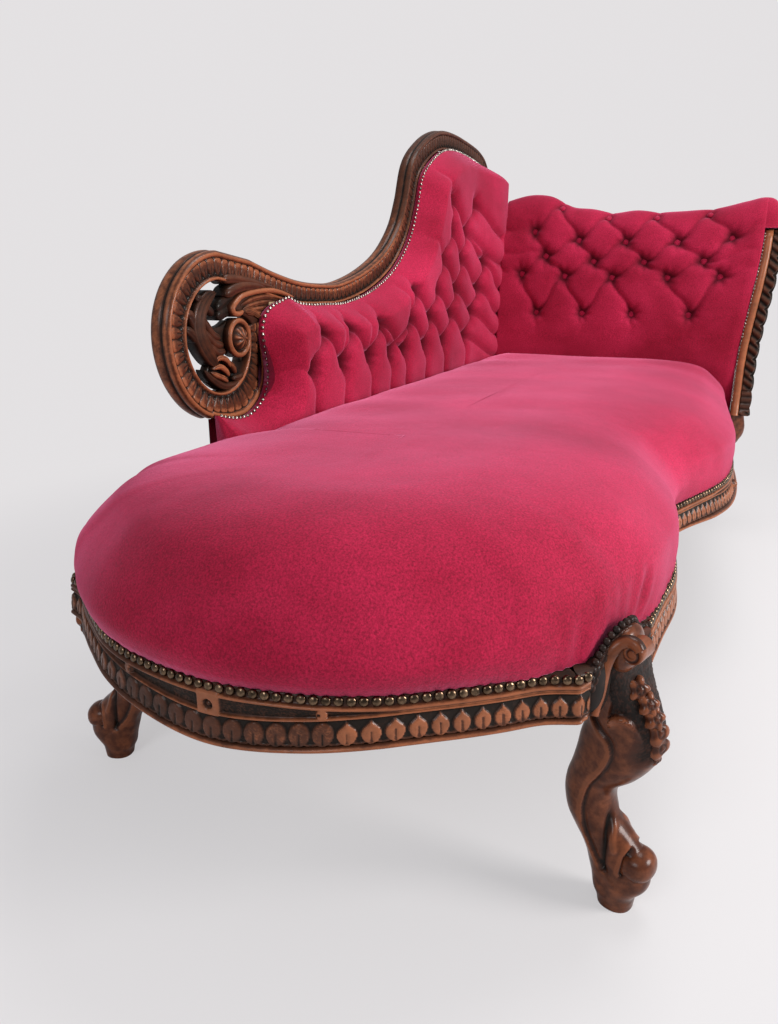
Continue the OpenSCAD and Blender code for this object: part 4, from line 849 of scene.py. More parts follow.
# How much the top of the roll rises, at shares of its length from the facing to the corner
head_lifts = curve([
    [0, 0.13], [0.08, 0.06], [0.17, 0], [0.34, -0.03], [0.45, 0], [0.54, -0.02], [0.63, 0.03], [0.71, 0.06],
    [0.77, 0.15], [0.83, 0.22], [0.915, 0.23], [1, 0.17]], 8)
head_rear_y = FRAME_Y - PAD_T - 24
head_profile = even(np.column_stack([HEAD_FACE_X + head_shares[:, 0] * HEAD_D,
                                     COVER_Z + head_shares[:, 1] * (head_rise - SOFT_GAP)]), HEAD_STEP)
head_along = lengths(head_profile)
head_out = -side(head_profile)
head_rows = [
    [0.49, [0.208, 0.426, 0.632, 0.829]], [0.678, [0.125, 0.306, 0.52, 0.719, 0.907]],
    [0.757, [0.19, 0.398, 0.602, 0.807]], [0.857, [0.106, 0.285, 0.478, 0.672, 0.863]],
    [0.985, [0.19, 0.37, 0.56, 0.76]]]
facing_half = head_profile[:, 1].argmax()
button_along = [np.interp(RAIL_TOP + h * head_rise, head_profile[:facing_half, 1], head_along[:facing_half])
                for h, _ in head_rows]
head_buttons = [[np.array([mix(HEAD_FRONT_Y, head_rear_y, s), v]) for s in row]
                for (h, row), v in zip(head_rows, button_along)]
# Folds run between the buttons, down to the seat, over the top, and out to both ends
head_folds = diamond_folds(head_buttons, 118)
head_folds += [(b, b + [0, -46], 0.25) for b in head_buttons[0]]
head_folds += [(b, b + [0, 90], 0.4) for b in head_buttons[4]]
for row in head_buttons[1:4]:
    head_folds += [(row[0], np.array([HEAD_FRONT_Y + 4, row[0][1] + 16]), 0.6)]
    head_folds += [(row[-1], np.array([head_rear_y - 2, row[-1][1] + 10]), 0.6)]
print("buttons on the head", sum(map(len, head_buttons)))


# %% Head roll
def head_flare(z, y=HEAD_FRONT_Y):
    """The roll's front end leans forward as it rises."""
    return 26 * smooth((z - 400) / 330) * smooth((HEAD_FRONT_Y + 260 - y) / 260)


def head_surface():
    """The head roll's skin, with the places along it, its folds, and the painted shade in them."""
    y = np.arange(HEAD_FRONT_Y + SOFT_GAP, head_rear_y + 2, HEAD_STEP)
    lift = np.interp((y - y[0]) / (y[-1] - y[0]), head_lifts[:, 0], head_lifts[:, 1])
    flat = np.stack(np.broadcast_arrays(y[:, None], head_along[None]), -1)
    buttons = [b for row in head_buttons[:4] for b in row]
    drawn = tufting(flat, buttons, head_folds, pit=15, crease=8, seed=4, broad=6.5)
    # The topmost buttons sit in shallow dimples
    dimples = [np.exp(-(np.linalg.norm(flat - b, axis=-1) / 15) ** 1.5) for b in head_buttons[4]]
    drawn += 9 * np.maximum.reduce(dimples)
    ends = smooth((head_along - 40) / 90) * smooth((head_along[-1] - head_along) / 60)
    front = smooth((y - y[0]) / 22)[:, None]
    drawn = drawn * ends[None] * mix(0.35, 1, front)
    swell = 4.2 * ends[None] * np.ones_like(drawn) - 5 * (1 - np.sqrt(front))
    z = head_profile[:, 1]
    raised = z[None] + lift[:, None] * np.maximum(0, z - RAIL_TOP - head_rise * 0.6)[None]
    off = swell - drawn + 0.9 * slow_waves(flat[..., 0], flat[..., 1], 21, low=40, high=170) * ends[None]
    grid = np.stack([head_profile[None, :, 0] + head_out[None, :, 0] * off,
                     np.broadcast_to(y[:, None], off.shape), raised + head_out[None, :, 1] * off], -1)
    grid[..., 1] -= head_flare(grid[..., 2], grid[..., 1])
    # On the inside the roll is open to the posts and the top rail that it wraps
    post = HEAD_FACE_X + 0.43 * HEAD_D
    rear, face, top = post + 22.4, post - SOFT_GAP, 721.8
    inner = [(rear, 648), (rear, top), (face, top), (face, COVER_Z)]
    core = np.stack([np.column_stack([np.full(len(y), x), y, np.full(len(y), z)]) for x, z in inner], 1)
    # Where the cloth is drawn in, its colour gets painted shade
    fold_painted_shade = np.pad(fold_shade(drawn, 2.5, 13), ((0, 0), (0, 4)))
    return np.concatenate([grid, core], 1), y, grid, fold_painted_shade


head_grid, head_y, head_skin, head_painted_shade = head_surface()
head = closed_piece("head_roll", head_grid, head_painted_shade, velvet, "velvet", "head_pad")


# %% Covered buttons of the head
def on_head(b):
    """Where a button of the head sits, and the way it faces."""
    i = int(np.argmin(np.abs(head_y - b[0])))
    j = int(np.argmin(np.abs(head_along - b[1])))
    n = np.array([head_out[j, 0], 0, head_out[j, 1]])
    return head_skin[i, j] + n * 0.8, n


head_places = [on_head(b) for row in head_buttons for b in row]
head_domes = domes([p for p, n in head_places], [n for p, n in head_places], BUTTON_R, dome)
head_button_mesh = solid_mesh("head_covered_buttons", *head_domes)
piece("head_covered_buttons", head_button_mesh, velvet, "velvet", "head_buttons")

# %% The end of the roll, which laps over the top of the facing
# The round top of the facing: its middle, its half width and its half height
DISC_X, DISC_Z = HEAD_FACE_X + 66.7, RAIL_TOP + 0.84 * head_rise
DISC_R, DISC_RISE = 36, 32.4
LIP_REACH = 41
lip_low = DISC_Z + DISC_RISE + SOFT_GAP


def lip_surface():
    """Rings that carry the roll's front end over the facing and close it."""
    lifted = head_skin[0].copy()
    lifted = lifted[lifted[:, 2] > lip_low - 4]
    lifted[:, 2] = np.maximum(lifted[:, 2], lip_low)
    mid = HEAD_FACE_X + HEAD_D / 2
    rings = []
    for t in np.linspace(0, 1, 16):
        k = math.sqrt(max(0.0, 1 - t ** 2.4))
        ring = lifted.copy()
        ring[:, 0] = mix(mid, ring[:, 0], mix(0.55, 1, k))
        ring[:, 1] = HEAD_FRONT_Y + 3 - t * LIP_REACH - head_flare(ring[:, 2])
        ring[:, 2] = lip_low + (ring[:, 2] - lip_low) * mix(0.12, 1, k)
        rings.append(ring)
    return np.array(rings)


lip = closed_piece("head_roll_end", lip_surface(), None, velvet, "velvet")

# %% [markdown]
# ## Carved rails
# Each seat rail is sawn to its serpentine plan, run with a moulding plane, and then carved by hand: a row of
# leaves between two fillets, and on the foot rail two sunk panels with a punched ground on either side of a
# round boss. A rail is one grid: rows follow the rail, columns run down its face band by band, and each
# band adds its own relief. So the carving follows every curve of the rail, as the carver's does.

# %% Rows of carved leaves
# Half widths of three leaves, in shares of their spacing, at the places LEAF_V between tip and foot
LEAF_V = [0.0, 0.05, 0.14, 0.24, 0.36, 0.5, 0.64, 0.78, 0.9, 1.0]
POINTED = [0.0, 0.03, 0.09, 0.2, 0.36, 0.435, 0.44, 0.38, 0.27, 0.1]
ROUNDED = [0.0, 0.16, 0.31, 0.4, 0.455, 0.475, 0.46, 0.4, 0.28, 0.1]
SHIELD = [0.34, 0.45, 0.49, 0.5, 0.49, 0.47, 0.42, 0.33, 0.2, 0.06]


def leaf_row(u, v, pitch, pointed, tall=2.6, rounded=ROUNDED):
    """Height and relief of a row of leaves. `u` counts leaves, `v` runs from 0 at their tips to 1 below."""
    across = np.abs(u - np.round(u)) * pitch
    half = mix(np.interp(v, LEAF_V, rounded), np.interp(v, LEAF_V, POINTED), pointed) * pitch
    body = smooth((half - across + 0.4) / 1.6)
    vein = bump(across, 0.9) * smooth((v - 0.4) / 0.1) * smooth((0.97 - v) / 0.1)
    shoulder = 1 - 0.28 * np.clip(across / np.maximum(half, 1), 0, 1) ** 2 - 0.2 * smooth((v - 0.55) / 0.45)
    link = bump(v - 0.9 + 0.08 * np.cos(math.tau * u), 0.055) * (1 - body)
    wobble = 1 + 0.12 * np.sin(np.round(u) * 12.9)
    height = tall * (body * shoulder * wobble + 0.5 * link) - 0.45 * tall * vein * body
    tone = mix(0.02, mix(0.52, 0.86, pointed) * wobble, body) + 0.55 * link - 0.5 * vein * body
    return height, tone - 0.25 * body * smooth((v - 0.7) / 0.3)


def round_fillet(t, low, high):
    """A rounded bead across its own band."""
    return low + (high - low) * np.sin(np.pi * np.clip(t, 0, 1)) ** 0.55


# %% A carved rail
# Columns of each band, from the top: nail strip, fillet, sunk panel, fillet, groove, leaves, groove, bead
RAIL_BANDS = [4, 7, 14, 6, 2, 24, 2, 9]
grain_rng = np.random.default_rng(12)
PANEL_END = 104


def rail_face(line, normals, panel, drop, extra, pointed, pitch, middle=None, boss_at=None):
    """Grid and relief of a rail. `panel`, `drop` and `extra` are the sunk panel's height, the extra depth of
    the face and the extra reach of its lower edge, one value for each point of the line."""
    band = np.repeat(np.arange(8), RAIL_BANDS)
    t = np.concatenate([np.arange(n) / n for n in RAIL_BANDS])
    t[-1] = 1.0
    ones = np.ones(len(line))
    spare = 0.4 * (drop - panel).clip(0)
    wide = np.stack([8 * ones, 5 * ones, np.maximum(panel, 0.4), 3 * ones, ones, 22 + spare, ones,
                     5.6 + spare], 1)
    start = np.concatenate([np.zeros((len(line), 1)), np.cumsum(wide, 1)], 1)
    d = start[:, band] + t * wide[:, band]
    s = np.broadcast_to(lengths(line)[:, None], d.shape)
    u = np.cumsum(np.append(0, np.diff(lengths(line)) / ((pitch[1:] + pitch[:-1]) / 2)))[:, None]
    rough = grain_rng.uniform(-1, 1, d.shape)
    each = np.interp(np.round(u[:, 0]), u[:, 0], pointed)
    leaf, leaf_tone = leaf_row(u, t[None], pitch[:, None], smooth((each - 0.3) / 0.4)[:, None])
    open_panel = smooth(panel / 3)[:, None]
    floor = mix(4.8, 1.2, open_panel) + 0.35 * rough * open_panel
    zero = 0 * d
    bands = [band == k for k in range(7)]
    arch = np.sin(np.pi * t)
    reach = 0.5 * extra[:, None]
    out = np.select(
        bands,
        [0.6 + zero, round_fillet(t, 0.8, 5.4) + zero, floor, round_fillet(t, 1.2, 5.6) + zero, 1.2 + zero,
         2.2 + 3.2 * t + reach * t + leaf + 0.15 * rough, 2.6 + reach],
        2.6 + reach + (5.9 + reach) * np.sin(np.pi * (0.1 + 0.78 * t)) ** 0.6)
    # Low tones in the grooves, the sunk panel and between the leaves are dust and painted shade
    tone = np.select(
        bands,
        [0.2 + zero, 0.42 + 0.42 * arch + zero, mix(0.7, 0.1 + 0.2 * rough, open_panel),
         0.42 + 0.46 * arch + zero, 0.05 + zero, leaf_tone + 0.06 * rough, 0.05 + zero],
        0.4 + 0.4 * arch + zero)
    # The round boss between the two panels, and a hook at each panel's far end
    if middle is not None:
        m = s - middle
        centre = (13 + panel / 2)[:, None]
        r = np.hypot(m, d - centre)
        mid_bands = (band >= 1) & (band <= 3)
        plaque = smooth((12 - np.abs(m)) / 1.6) * mid_bands
        out, tone = mix(out, 5.8, plaque), mix(tone, 0.98, plaque)
        hole = smooth((5.4 - r) / 1.1) * mid_bands
        bead = np.sqrt(np.clip(1 - (r / 3.0) ** 2, 0, 1)) * mid_bands
        # The hole round the boss's bead is painted near black, for dust and painted shade
        out, tone = out - 4.8 * hole + 3.6 * bead, mix(tone, 0.02, hole) + 0.5 * bead
        for way in (-1, 1):
            hook = np.hypot(m - way * PANEL_END, d - centre)
            notch = np.hypot(m - way * (PANEL_END - 3), d - centre)
            body = smooth((5.6 - hook) / 1.2) * mid_bands
            out, tone = mix(out, 5.4, body), mix(tone, 0.9, body)
            cut = smooth((1.9 - notch) / 0.8) * mid_bands
            out, tone = out - 3.2 * cut, mix(tone, 0.0, cut)
    # The turned boss of the lobe
    if boss_at is not None:
        r = np.hypot(s - boss_at, d - 31.0)
        ring = smooth((10.2 - r) / 1.4)
        button = 2.2 * np.sqrt(np.clip(1 - (r / 5.6) ** 2, 0, 1))
        out = mix(out, 12.5 + 0 * d, ring) - 3.4 * bump(r - 7.2, 1.3) + button
        tone = mix(tone, 0.9, ring) - 0.7 * bump(r - 7.2, 1.2)
    xy = line[:, None] + normals[:, None] * out[..., None]
    front = np.concatenate([xy, (RAIL_TOP - d)[..., None]], 2)
    low = RAIL_TOP - d[:, -1]
    foot = np.full(len(line), RAIL_TOP - RAIL_H)
    behind = [(-13.5, low), (-22.5, foot), (-RAIL_T, foot), (-RAIL_T, np.full(len(line), RAIL_TOP))]
    back = [np.column_stack([line + normals * off, z]) for off, z in behind]
    grid = np.concatenate([front, np.stack(back, 1)], 1)
    return grid, np.concatenate([tone, np.full((len(line), 4), 0.12)], 1)


def outward(line, axis):
    """Normals of a rail, taken on the side where the couch's outside lies, towards less `axis`."""
    normals = side(line)
    return -normals if normals[len(normals) // 2, axis] > 0 else normals


def end_normals(line, normals, at_end, reach=22):
    """Turns a rail's normals to its mitre over the last few millimetres."""
    s = lengths(line)
    near = smooth(1 - np.minimum(s, s[-1] - s) / reach)[:, None]
    return unit(mix(normals, np.asarray(at_end, float), near))


# The foot rail runs on behind the tops of both legs
FOOT_END_X, FOOT_END_Y = FOOT_X + 166, -270
foot_ends = [[FOOT_END_X, 2 * AXIS_Y - FOOT_END_Y], [FOOT_END_X, FOOT_END_Y]]
foot_run = even(np.vstack([foot_ends[0], foot_line, foot_ends[1]]), RAIL_STEP)
foot_normals = end_normals(foot_run, outward(foot_run, 0), (-1, 0))
foot_s = lengths(foot_run)
foot_mid = foot_s[-1] / 2
from_mid = np.abs(foot_s - foot_mid)
foot_drop = 14 * (1 - smooth(1.8 * from_mid / foot_mid))
foot_pointed = smooth((from_mid - PANEL_END) / 6)
foot_pitch = mix(20.4, 18.5, smooth((from_mid - 110) / 170))
foot_grid, foot_tone = rail_face(foot_run, foot_normals, foot_drop, foot_drop, 0 * foot_drop, foot_pointed,
                                 foot_pitch, middle=foot_mid)
# The half away from the key light is painted darker, as shade
foot_tone = foot_tone * mix(0.66, 1, smooth((170 - foot_run[:, 1:]) / 170))
closed_piece("carved_foot_rail", foot_grid, foot_tone, carved_walnut, "walnut", "foot_rail")

front_run = even(np.vstack([front_line, [HEAD_X - 40, front_end[1]]]), RAIL_STEP)
front_normals = end_normals(front_run, outward(front_run, 1), (0, -1))
front_t = (front_run[:, 0] - SIDE_X) / (BLOCK_X - SIDE_X)
swelling = smooth((front_t - 0.36) / 0.1) * smooth((1 - front_t) / 0.3)
front_s = lengths(front_run)
front_panel = 3.2 * smooth((front_t - 0.44) / 0.05) * smooth((0.9 - front_t) / 0.05)
boss_s = np.interp(0.575, front_t, front_s)
front_pointed, front_pitch = np.ones(len(front_run)), np.full(len(front_run), 17.5)
front_grid, front_tone = rail_face(front_run, front_normals, front_panel, 4.2 * swelling, 7 * swelling,
                                   front_pointed, front_pitch, boss_at=boss_s)
closed_piece("carved_front_rail", front_grid, front_tone, carved_walnut, "walnut", "front_rail")

# %% [markdown]
# ## Nails
# Domed brass nails hold the velvet to a narrow strip at the top of each rail, almost touching one another.
# Every nail is a small dome whose foot sits on the wood, set out by walking along the line in equal steps.

# %% Nails along the rails
# Shares of a nail's radius: out from its middle, and up from the wood
nail_dome = [(0.0, -0.3), (0.96, -0.3), (1.0, 0.02), (0.95, 0.24), (0.82, 0.42), (0.6, 0.56), (0.32, 0.64),
             (0.04, 0.66)]
RAIL_NAIL_PITCH, RAIL_NAIL_R = 10.7, 4.7


def nails(name, line, pitch, radius, facing, finish, jitter=0.35, seed=1):
    """Domed nails along a line of places. `facing` holds a direction for each place of the line."""
    s = lengths(line)
    count = max(1, int(round(s[-1] / pitch)))
    r = np.random.default_rng(seed)
    at = (np.arange(count) + 0.5) * s[-1] / count + r.uniform(-jitter, jitter, count)
    spots = np.stack([np.interp(at, s, line[:, k]) for k in range(3)], 1)
    ways = np.stack([np.interp(at, s, facing[:, k]) for k in range(3)], 1)
    ways = unit(ways + r.uniform(-0.09, 0.09, (count, 3)))
    points, faces = domes(spots, ways, radius, nail_dome, sides=14)
    return piece(name, solid_mesh(name, points, faces), finish, "nails")


def rail_nail_line(line, normals, out=1.3, z=296.4):
    """Places and directions for the nails of a rail."""
    n = len(line)
    spots = np.column_stack([line + normals * out, np.full(n, z)])
    return spots, np.column_stack([normals, np.full(n, 0.28)])


foot_spots, foot_facing = rail_nail_line(foot_run, foot_normals)
nails("foot_rail_nails", foot_spots, RAIL_NAIL_PITCH, RAIL_NAIL_R, foot_facing, dark_brass, seed=2)
front_spots, front_facing = rail_nail_line(front_run, front_normals)
nails("front_rail_nails", front_spots, RAIL_NAIL_PITCH, RAIL_NAIL_R, front_facing, dark_brass, seed=3)
# %% [markdown]
# ## Cabriole legs
# A cabriole leg is bandsawn from one thick piece: it swells at the knee, draws in at the ankle and ends in a
# rolled toe. Its carving lies mostly on its two sides. So the leg is built in its own frame, where X points
# out along the knee and Y across it. The sections of the drawing are lofted, and the side carving is drawn
# as lines in the plane of the leg, each of which raises or sinks the surface near it, alike on both sides.

# %% Strips of carving
class Carving:
    """Collects several grids into one mesh."""

    def __init__(self):
        self.points, self.faces, self.relief = [], [], []

    def add(self, grid, relief, caps=True):
        """Adds a grid that closes across its columns."""
        rows, cols = grid.shape[:2]
        start = sum(map(len, self.points))
        self.faces += (grid_faces(rows, cols) + start).tolist()
        if caps:
            last = start + (rows - 1) * cols
            self.faces += [[start + j for j in range(cols)], [last + j for j in range(cols - 1, -1, -1)]]
        self.points.append(grid.reshape(-1, 3))
        self.relief.append(np.broadcast_to(relief, (rows, cols)).ravel())

    def add_solid(self, points, faces, relief):
        """Adds a mesh that is already made, all at one relief."""
        start = sum(map(len, self.points))
        self.faces += [[start + k for k in face] for face in faces]
        self.points.append(np.array(points))
        self.relief.append(np.full(len(points), relief))

    def mesh(self, name, place=lambda p: p):
        return solid_mesh(name, place(np.concatenate(self.points)), self.faces, np.concatenate(self.relief))


# Sections of a strip: place across, height, relief
ROLL = [(-1, -0.8, 0.05), (-1, -0.1, 0.25), (-0.86, 0.46, 0.55), (-0.5, 0.87, 0.85), (0, 1, 0.95),
        (0.5, 0.87, 0.85), (0.86, 0.46, 0.55), (1, -0.1, 0.25), (1, -0.8, 0.05)]
LEAF = [(-1, -0.8, 0.02), (-1, 0.2, 0.55), (-0.84, 0.5, 0.85), (-0.55, 0.3, 0.3), (-0.25, 0.5, 0.45),
        (0, 1, 1.0), (0.25, 0.5, 0.45), (0.55, 0.3, 0.3), (0.84, 0.5, 0.85), (1, 0.2, 0.55), (1, -0.8, 0.02)]


def strand(path, up, half, rise, profile=ROLL):
    """A strip that follows a line in space. `up` is the way its back faces, `half` and `rise` its size."""
    path = np.asarray(path, float)
    ahead = unit(np.gradient(path, axis=0))
    across = unit(np.cross(ahead, np.broadcast_to(np.asarray(up, float), path.shape)))
    over = np.cross(across, ahead)
    shape = np.array(profile)
    half = np.broadcast_to(half, len(path))
    rise = np.broadcast_to(rise, len(path))
    grid = (path[:, None] + across[:, None] * shape[None, :, :1] * half[:, None, None]
            + over[:, None] * shape[None, :, 1:2] * rise[:, None, None])
    return grid, np.broadcast_to(shape[:, 2], grid.shape[:2])


def line_distance(points, line):
    """Distance from each point to a line of straight bits, and on which side of it the point lies."""
    best = np.full(points.shape[:-1], 1e9)
    way = np.zeros(points.shape[:-1])
    for a, b in zip(line[:-1], line[1:]):
        d, _ = near_segment(points, a, b)
        turn_way = np.sign((b[0] - a[0]) * (points[..., 1] - a[1]) - (b[1] - a[1]) * (points[..., 0] - a[0]))
        way = np.where(d < best, turn_way, way)
        best = np.minimum(best, d)
    return best, way


def inside_outline(points, outline):
    """Whether each point lies inside a closed outline."""
    x, z = points[..., 0], points[..., 1]
    inside = np.zeros(x.shape, bool)
    for (x0, z0), (x1, z1) in zip(outline, np.roll(outline, -1, 0)):
        crosses = (z0 > z) != (z1 > z)
        inside ^= crosses & (x < (x1 - x0) * (z - z0) / (z1 - z0 + 1e-9) + x0)
    return inside


# %% Shape of the leg in its own frame
KNEE_R, KNEE_HALF = 39, 58
LEG_RING, LEG_SIDES = 1.5, 150
SQUARENESS = 2.25
# Sections of the leg: share of its height, then its middle, half length and half width in shares of the knee
leg_shares = np.array([
    [0, -0.16, 0.46, 0.3], [0.03, -0.17, 0.5, 0.32], [0.06, -0.2, 0.58, 0.35], [0.11, -0.1, 0.76, 0.37],
    [0.16, -0.13, 0.84, 0.38], [0.2, -0.2, 0.86, 0.38], [0.24, -0.38, 0.86, 0.37], [0.28, -0.64, 0.84, 0.37],
    [0.33, -0.95, 0.76, 0.38], [0.4, -1.13, 0.69, 0.38], [0.46, -1.08, 0.71, 0.39], [0.52, -0.78, 0.88, 0.45],
    [0.58, -0.56, 1, 0.49], [0.65, -0.39, 1.08, 0.51], [0.72, -0.3, 1, 0.53], [0.79, -0.36, 0.84, 0.58],
    [0.87, -0.5, 0.64, 0.7], [0.94, -0.57, 0.53, 0.76], [1, -0.6, 0.48, 0.76]])
# Lines of the side carving, in the plane of the leg: out along the knee, and up
s_ridge = curve([(-36, 219), (-27, 211), (-17, 203), (-13.6, 191), (-17, 176), (-26, 159), (-36, 142),
                 (-41, 124), (-42, 107), (-39, 88), (-32, 72), (-24, 60), (-14, 50)], 3)
knee_scroll = curve([(-17, 226), (-14, 233), (-5, 236), (4, 232), (11, 221), (16, 209), (21, 198),
                     (24, 188)], 3)
shaft_groove = curve([(-7, 141), (-12.7, 123), (-15, 105), (-14.5, 86), (-15.3, 66), (-15.3, 50)], 3)
shaft_ridge = curve([(-3, 139), (-8.2, 122), (-10, 105), (-9, 88), (-5, 76)], 3)
toe_cuff = curve([(4, 54), (5, 62), (6, 72), (9, 80), (14, 86), (18, 89)], 3)
knee_ground = [(-19, 230), (-15, 250), (-22, 281), (-14, 296), (30, 296), (46, 230), (40, 186), (26, 180),
               (21, 197), (16, 209), (11, 221), (4, 231), (-5, 235), (-14, 233)]
ankle_fin = curve([(-15, 118), (-9, 126), (-3, 136)], 3)
# Each flower or bell: its middle, its size and the number of petals
husk_places = [(2.5, 17, 263, 12, 5), (13, 14.5, 250, 11.5, 5), (19.5, 12.5, 237, 11.5, 5),
               (23.5, 10, 222, 12.5, 3), (25.5, 8, 206, 12.5, 3), (22, 6, 190, 7, 3)]


def leg_out(z, out):
    """How far the upper leg is drawn out at each height."""
    return out * smooth((z / RAIL_TOP - 0.4) / 0.5)


def leg_body(out=0.0, carved_top=True):
    """The leg's skin with its side carving. `out` draws the knee further out, as under the head."""
    z = np.arange(0, RAIL_TOP + 0.1, LEG_RING)
    fine = curve(leg_shares, 12)
    c0 = np.interp(z, fine[:, 0] * RAIL_TOP, fine[:, 1]) * KNEE_R
    a0 = np.interp(z, fine[:, 0] * RAIL_TOP, fine[:, 2]) * KNEE_R
    b = np.interp(z, fine[:, 0] * RAIL_TOP, fine[:, 3]) * KNEE_HALF
    if not carved_top:
        b = np.minimum(b, 31)
    c = c0 + leg_out(z, out)
    a = a0 + out * 0.25 * smooth((z / RAIL_TOP - 0.55) / 0.4)
    turn_by = np.arange(LEG_SIDES) / LEG_SIDES * math.tau
    cs, sn = np.cos(turn_by), np.sin(turn_by)
    full = 1 / (np.abs(cs) ** SQUARENESS + np.abs(sn) ** SQUARENESS) ** (1 / SQUARENESS)
    x = cs * full
    y = sn * full
    drawn = np.stack([c0[:, None] + a0[:, None] * x, np.broadcast_to(z[:, None], (len(z), LEG_SIDES))], -1)
    flank = smooth((np.abs(sn) - 0.22) / 0.35)[None]
    push = np.zeros(drawn.shape[:2])
    tone = np.full(drawn.shape[:2], 0.62)
    # The S-shaped ridge down the leg, with a hollow beside it
    d, way = line_distance(drawn, s_ridge)
    push += 3.0 * smooth((1.5 - d * way) / 3) * np.exp(-d / 13) - 1.6 * bump(d - 3, 3) * (way > 0)
    # The hollow beside the ridge is painted darker, as shade
    tone += 0.3 * bump(d - 2.5, 2.5) * (way < 0) - 0.5 * bump(d - 1.6, 1.6) * (way > 0)
    # The scroll at the knee, and the punched ground that it bounds
    d, way = line_distance(drawn, knee_scroll)
    push += 3.6 * bump(d, 4.5) * (way < 0) + 2.4 * bump(d, 2.0)
    tone += 0.25 * bump(d, 4)
    ground = smooth(inside_outline(drawn, knee_ground) * np.clip(d / 3, 0, 1)) if carved_top else 0 * push
    rough = grain_rng.uniform(-1, 1, push.shape)
    push = mix(push, -3.2 + 0.5 * rough, ground)
    # The punched ground is near black, for dust and painted shade in its pits
    tone = mix(tone, 0.03 + 0.3 * np.abs(rough) ** 3, ground)
    # Groove and ridge along the shaft, the cuff above the toe, and the fin at the ankle
    d, _ = line_distance(drawn, shaft_groove)
    push -= 4.2 * bump(d, 2.6)
    # The shaft groove is painted darker, for dust and painted shade
    tone -= 0.62 * bump(d, 3.0)
    d, _ = line_distance(drawn, shaft_ridge)
    push += 2.2 * bump(d, 3.2)
    tone += 0.3 * bump(d, 2.5)
    d, way = line_distance(drawn, toe_cuff)
    push += -4.5 * bump(d + 1.5 * way, 2.4) + 2.2 * bump(d, 2.5) * (way > 0)
    tone += -0.7 * bump(d + 1.5 * way, 2.6) + 0.35 * bump(d - 3, 2) * (way > 0)
    d, _ = line_distance(drawn, ankle_fin)
    push += 2.5 * bump(d, 1.8)
    push = push * flank
    tone = mix(0.55, tone, flank)
    # The front of the knee is sunk for the husks
    front = smooth((cs - 0.35) / 0.4)[None] * smooth((z - 180) / 16)[:, None]
    if carved_top:
        push = mix(push, -2.6 + 0.5 * rough, front)
        # The sunk ground round the husks is near black too, for dust and painted shade
        tone = mix(tone, 0.04 + 0.28 * np.abs(rough) ** 3, front)
    out_x = c[:, None] + a[:, None] * x + push * cs
    out_y = b[:, None] * y + push * sn
    grid = np.stack([out_x, out_y, np.broadcast_to(z[:, None], out_x.shape)], -1)
    return grid, np.clip(tone, 0, 1.25), c, a, z


def husk(centre, normal, size, petals, height=4.6):
    """One small carved flower or bell: a grid of rings from its middle to its rim."""
    down = np.array([0.0, 0.0, -1.0])
    n = unit(np.asarray(normal, float))
    v = unit(down - n * np.dot(down, n))
    u = np.cross(n, v)
    r, k = np.meshgrid(np.append(np.linspace(0.02, 1, 9), 1), np.arange(30) / 30 * math.tau, indexing="ij")
    lobes = np.cos(petals * k)
    radius = size * r * (0.84 + 0.16 * lobes * r)
    lift = height * (np.sqrt(1.02 - r ** 2 * 0.98) * (0.9 + 0.1 * lobes * r) - 0.22 * bump(r - 0.36, 0.1))
    lift[-1] = -7
    point = centre + u * (radius * np.cos(k))[..., None]
    point = point + v * (radius * 1.15 * np.sin(k))[..., None] + n * lift[..., None]
    tone = 0.55 + 0.15 * r + 0.3 * lobes * r - 0.4 * bump(r - 0.36, 0.1)
    return point, tone


def round_end(centre, size, power=2.3, rings=26, sides=40):
    """A rounded block, close to a ball, as for a toe."""
    v, u = np.meshgrid(np.linspace(-math.pi / 2, math.pi / 2, rings), np.arange(sides) / sides * math.tau,
                       indexing="ij")
    p = np.stack([np.cos(v) * np.cos(u), np.sin(v), np.cos(v) * np.sin(u)], -1)
    p = np.sign(p) * np.abs(p) ** (2 / power)
    p /= (np.abs(p) ** power).sum(-1, keepdims=True) ** (1 / power)
    return np.asarray(centre, float) + p * np.asarray(size, float)


def spiral_roll(carving, x, z, radius, y0, y1):
    """A rolled scroll end: a short round bar across the leg, with a spiral sunk into its face."""
    turns = np.linspace(0, 1, 13)
    sides = 48
    k = np.arange(sides) / sides * math.tau
    rings, tones = [], []
    for y, r in [(y1, 0.98), (mix(y1, y0, 0.9), 1.0), (y0, 0.9)]:
        bar = radius * r
        rings.append(np.stack([x + bar * np.cos(k), np.full(sides, y), z + bar * np.sin(k)], -1))
        tones.append(np.full(sides, 0.75))
    for t in turns:
        r = radius * (0.86 - 0.84 * t)
        depth = 1.3 * (0.5 - 0.5 * np.cos(k - t * 3.4 * math.pi))
        sunk = depth * np.sin(math.pi * min(1, t * 1.2 + 0.1))
        rings.append(np.stack([x + r * np.cos(k), y0 + np.sign(y1 - y0) * sunk, z + r * np.sin(k)], -1))
        # The sunk spiral is painted darker, as shade
        tones.append(0.85 - 0.5 * sunk)
    carving.add(np.array(rings), np.array(tones))


# %% The scroll at the top of a foot leg
# The strap that rolls over and the line of the ruffled leaf above it, for a scroll on the far side
scroll_strap = np.array([
    (-18, 66, 250), (-17.9, 63, 259), (-16.9, 60, 268), (-16.6, 57, 281), (-16.8, 54, 291.6),
    (-15.8, 50, 302), (-12.9, 46, 310.8), (-8.7, 42, 316.2), (-2.3, 40, 319.4), (5.0, 40, 318.6),
    (9.2, 40, 314)])
ruffle_line = np.array([
    (-20, 80, 286), (-20.5, 73, 293), (-21, 67, 301), (-20.6, 57, 311), (-18.6, 46, 321), (-15, 34, 329),
    (-13, 20, 331), (-15, 6, 327), (-19, -8, 318), (-23, -24, 307), (-25, -40, 300), (-24, -54, 297)])
RUFFLE_PITCH = 7.4


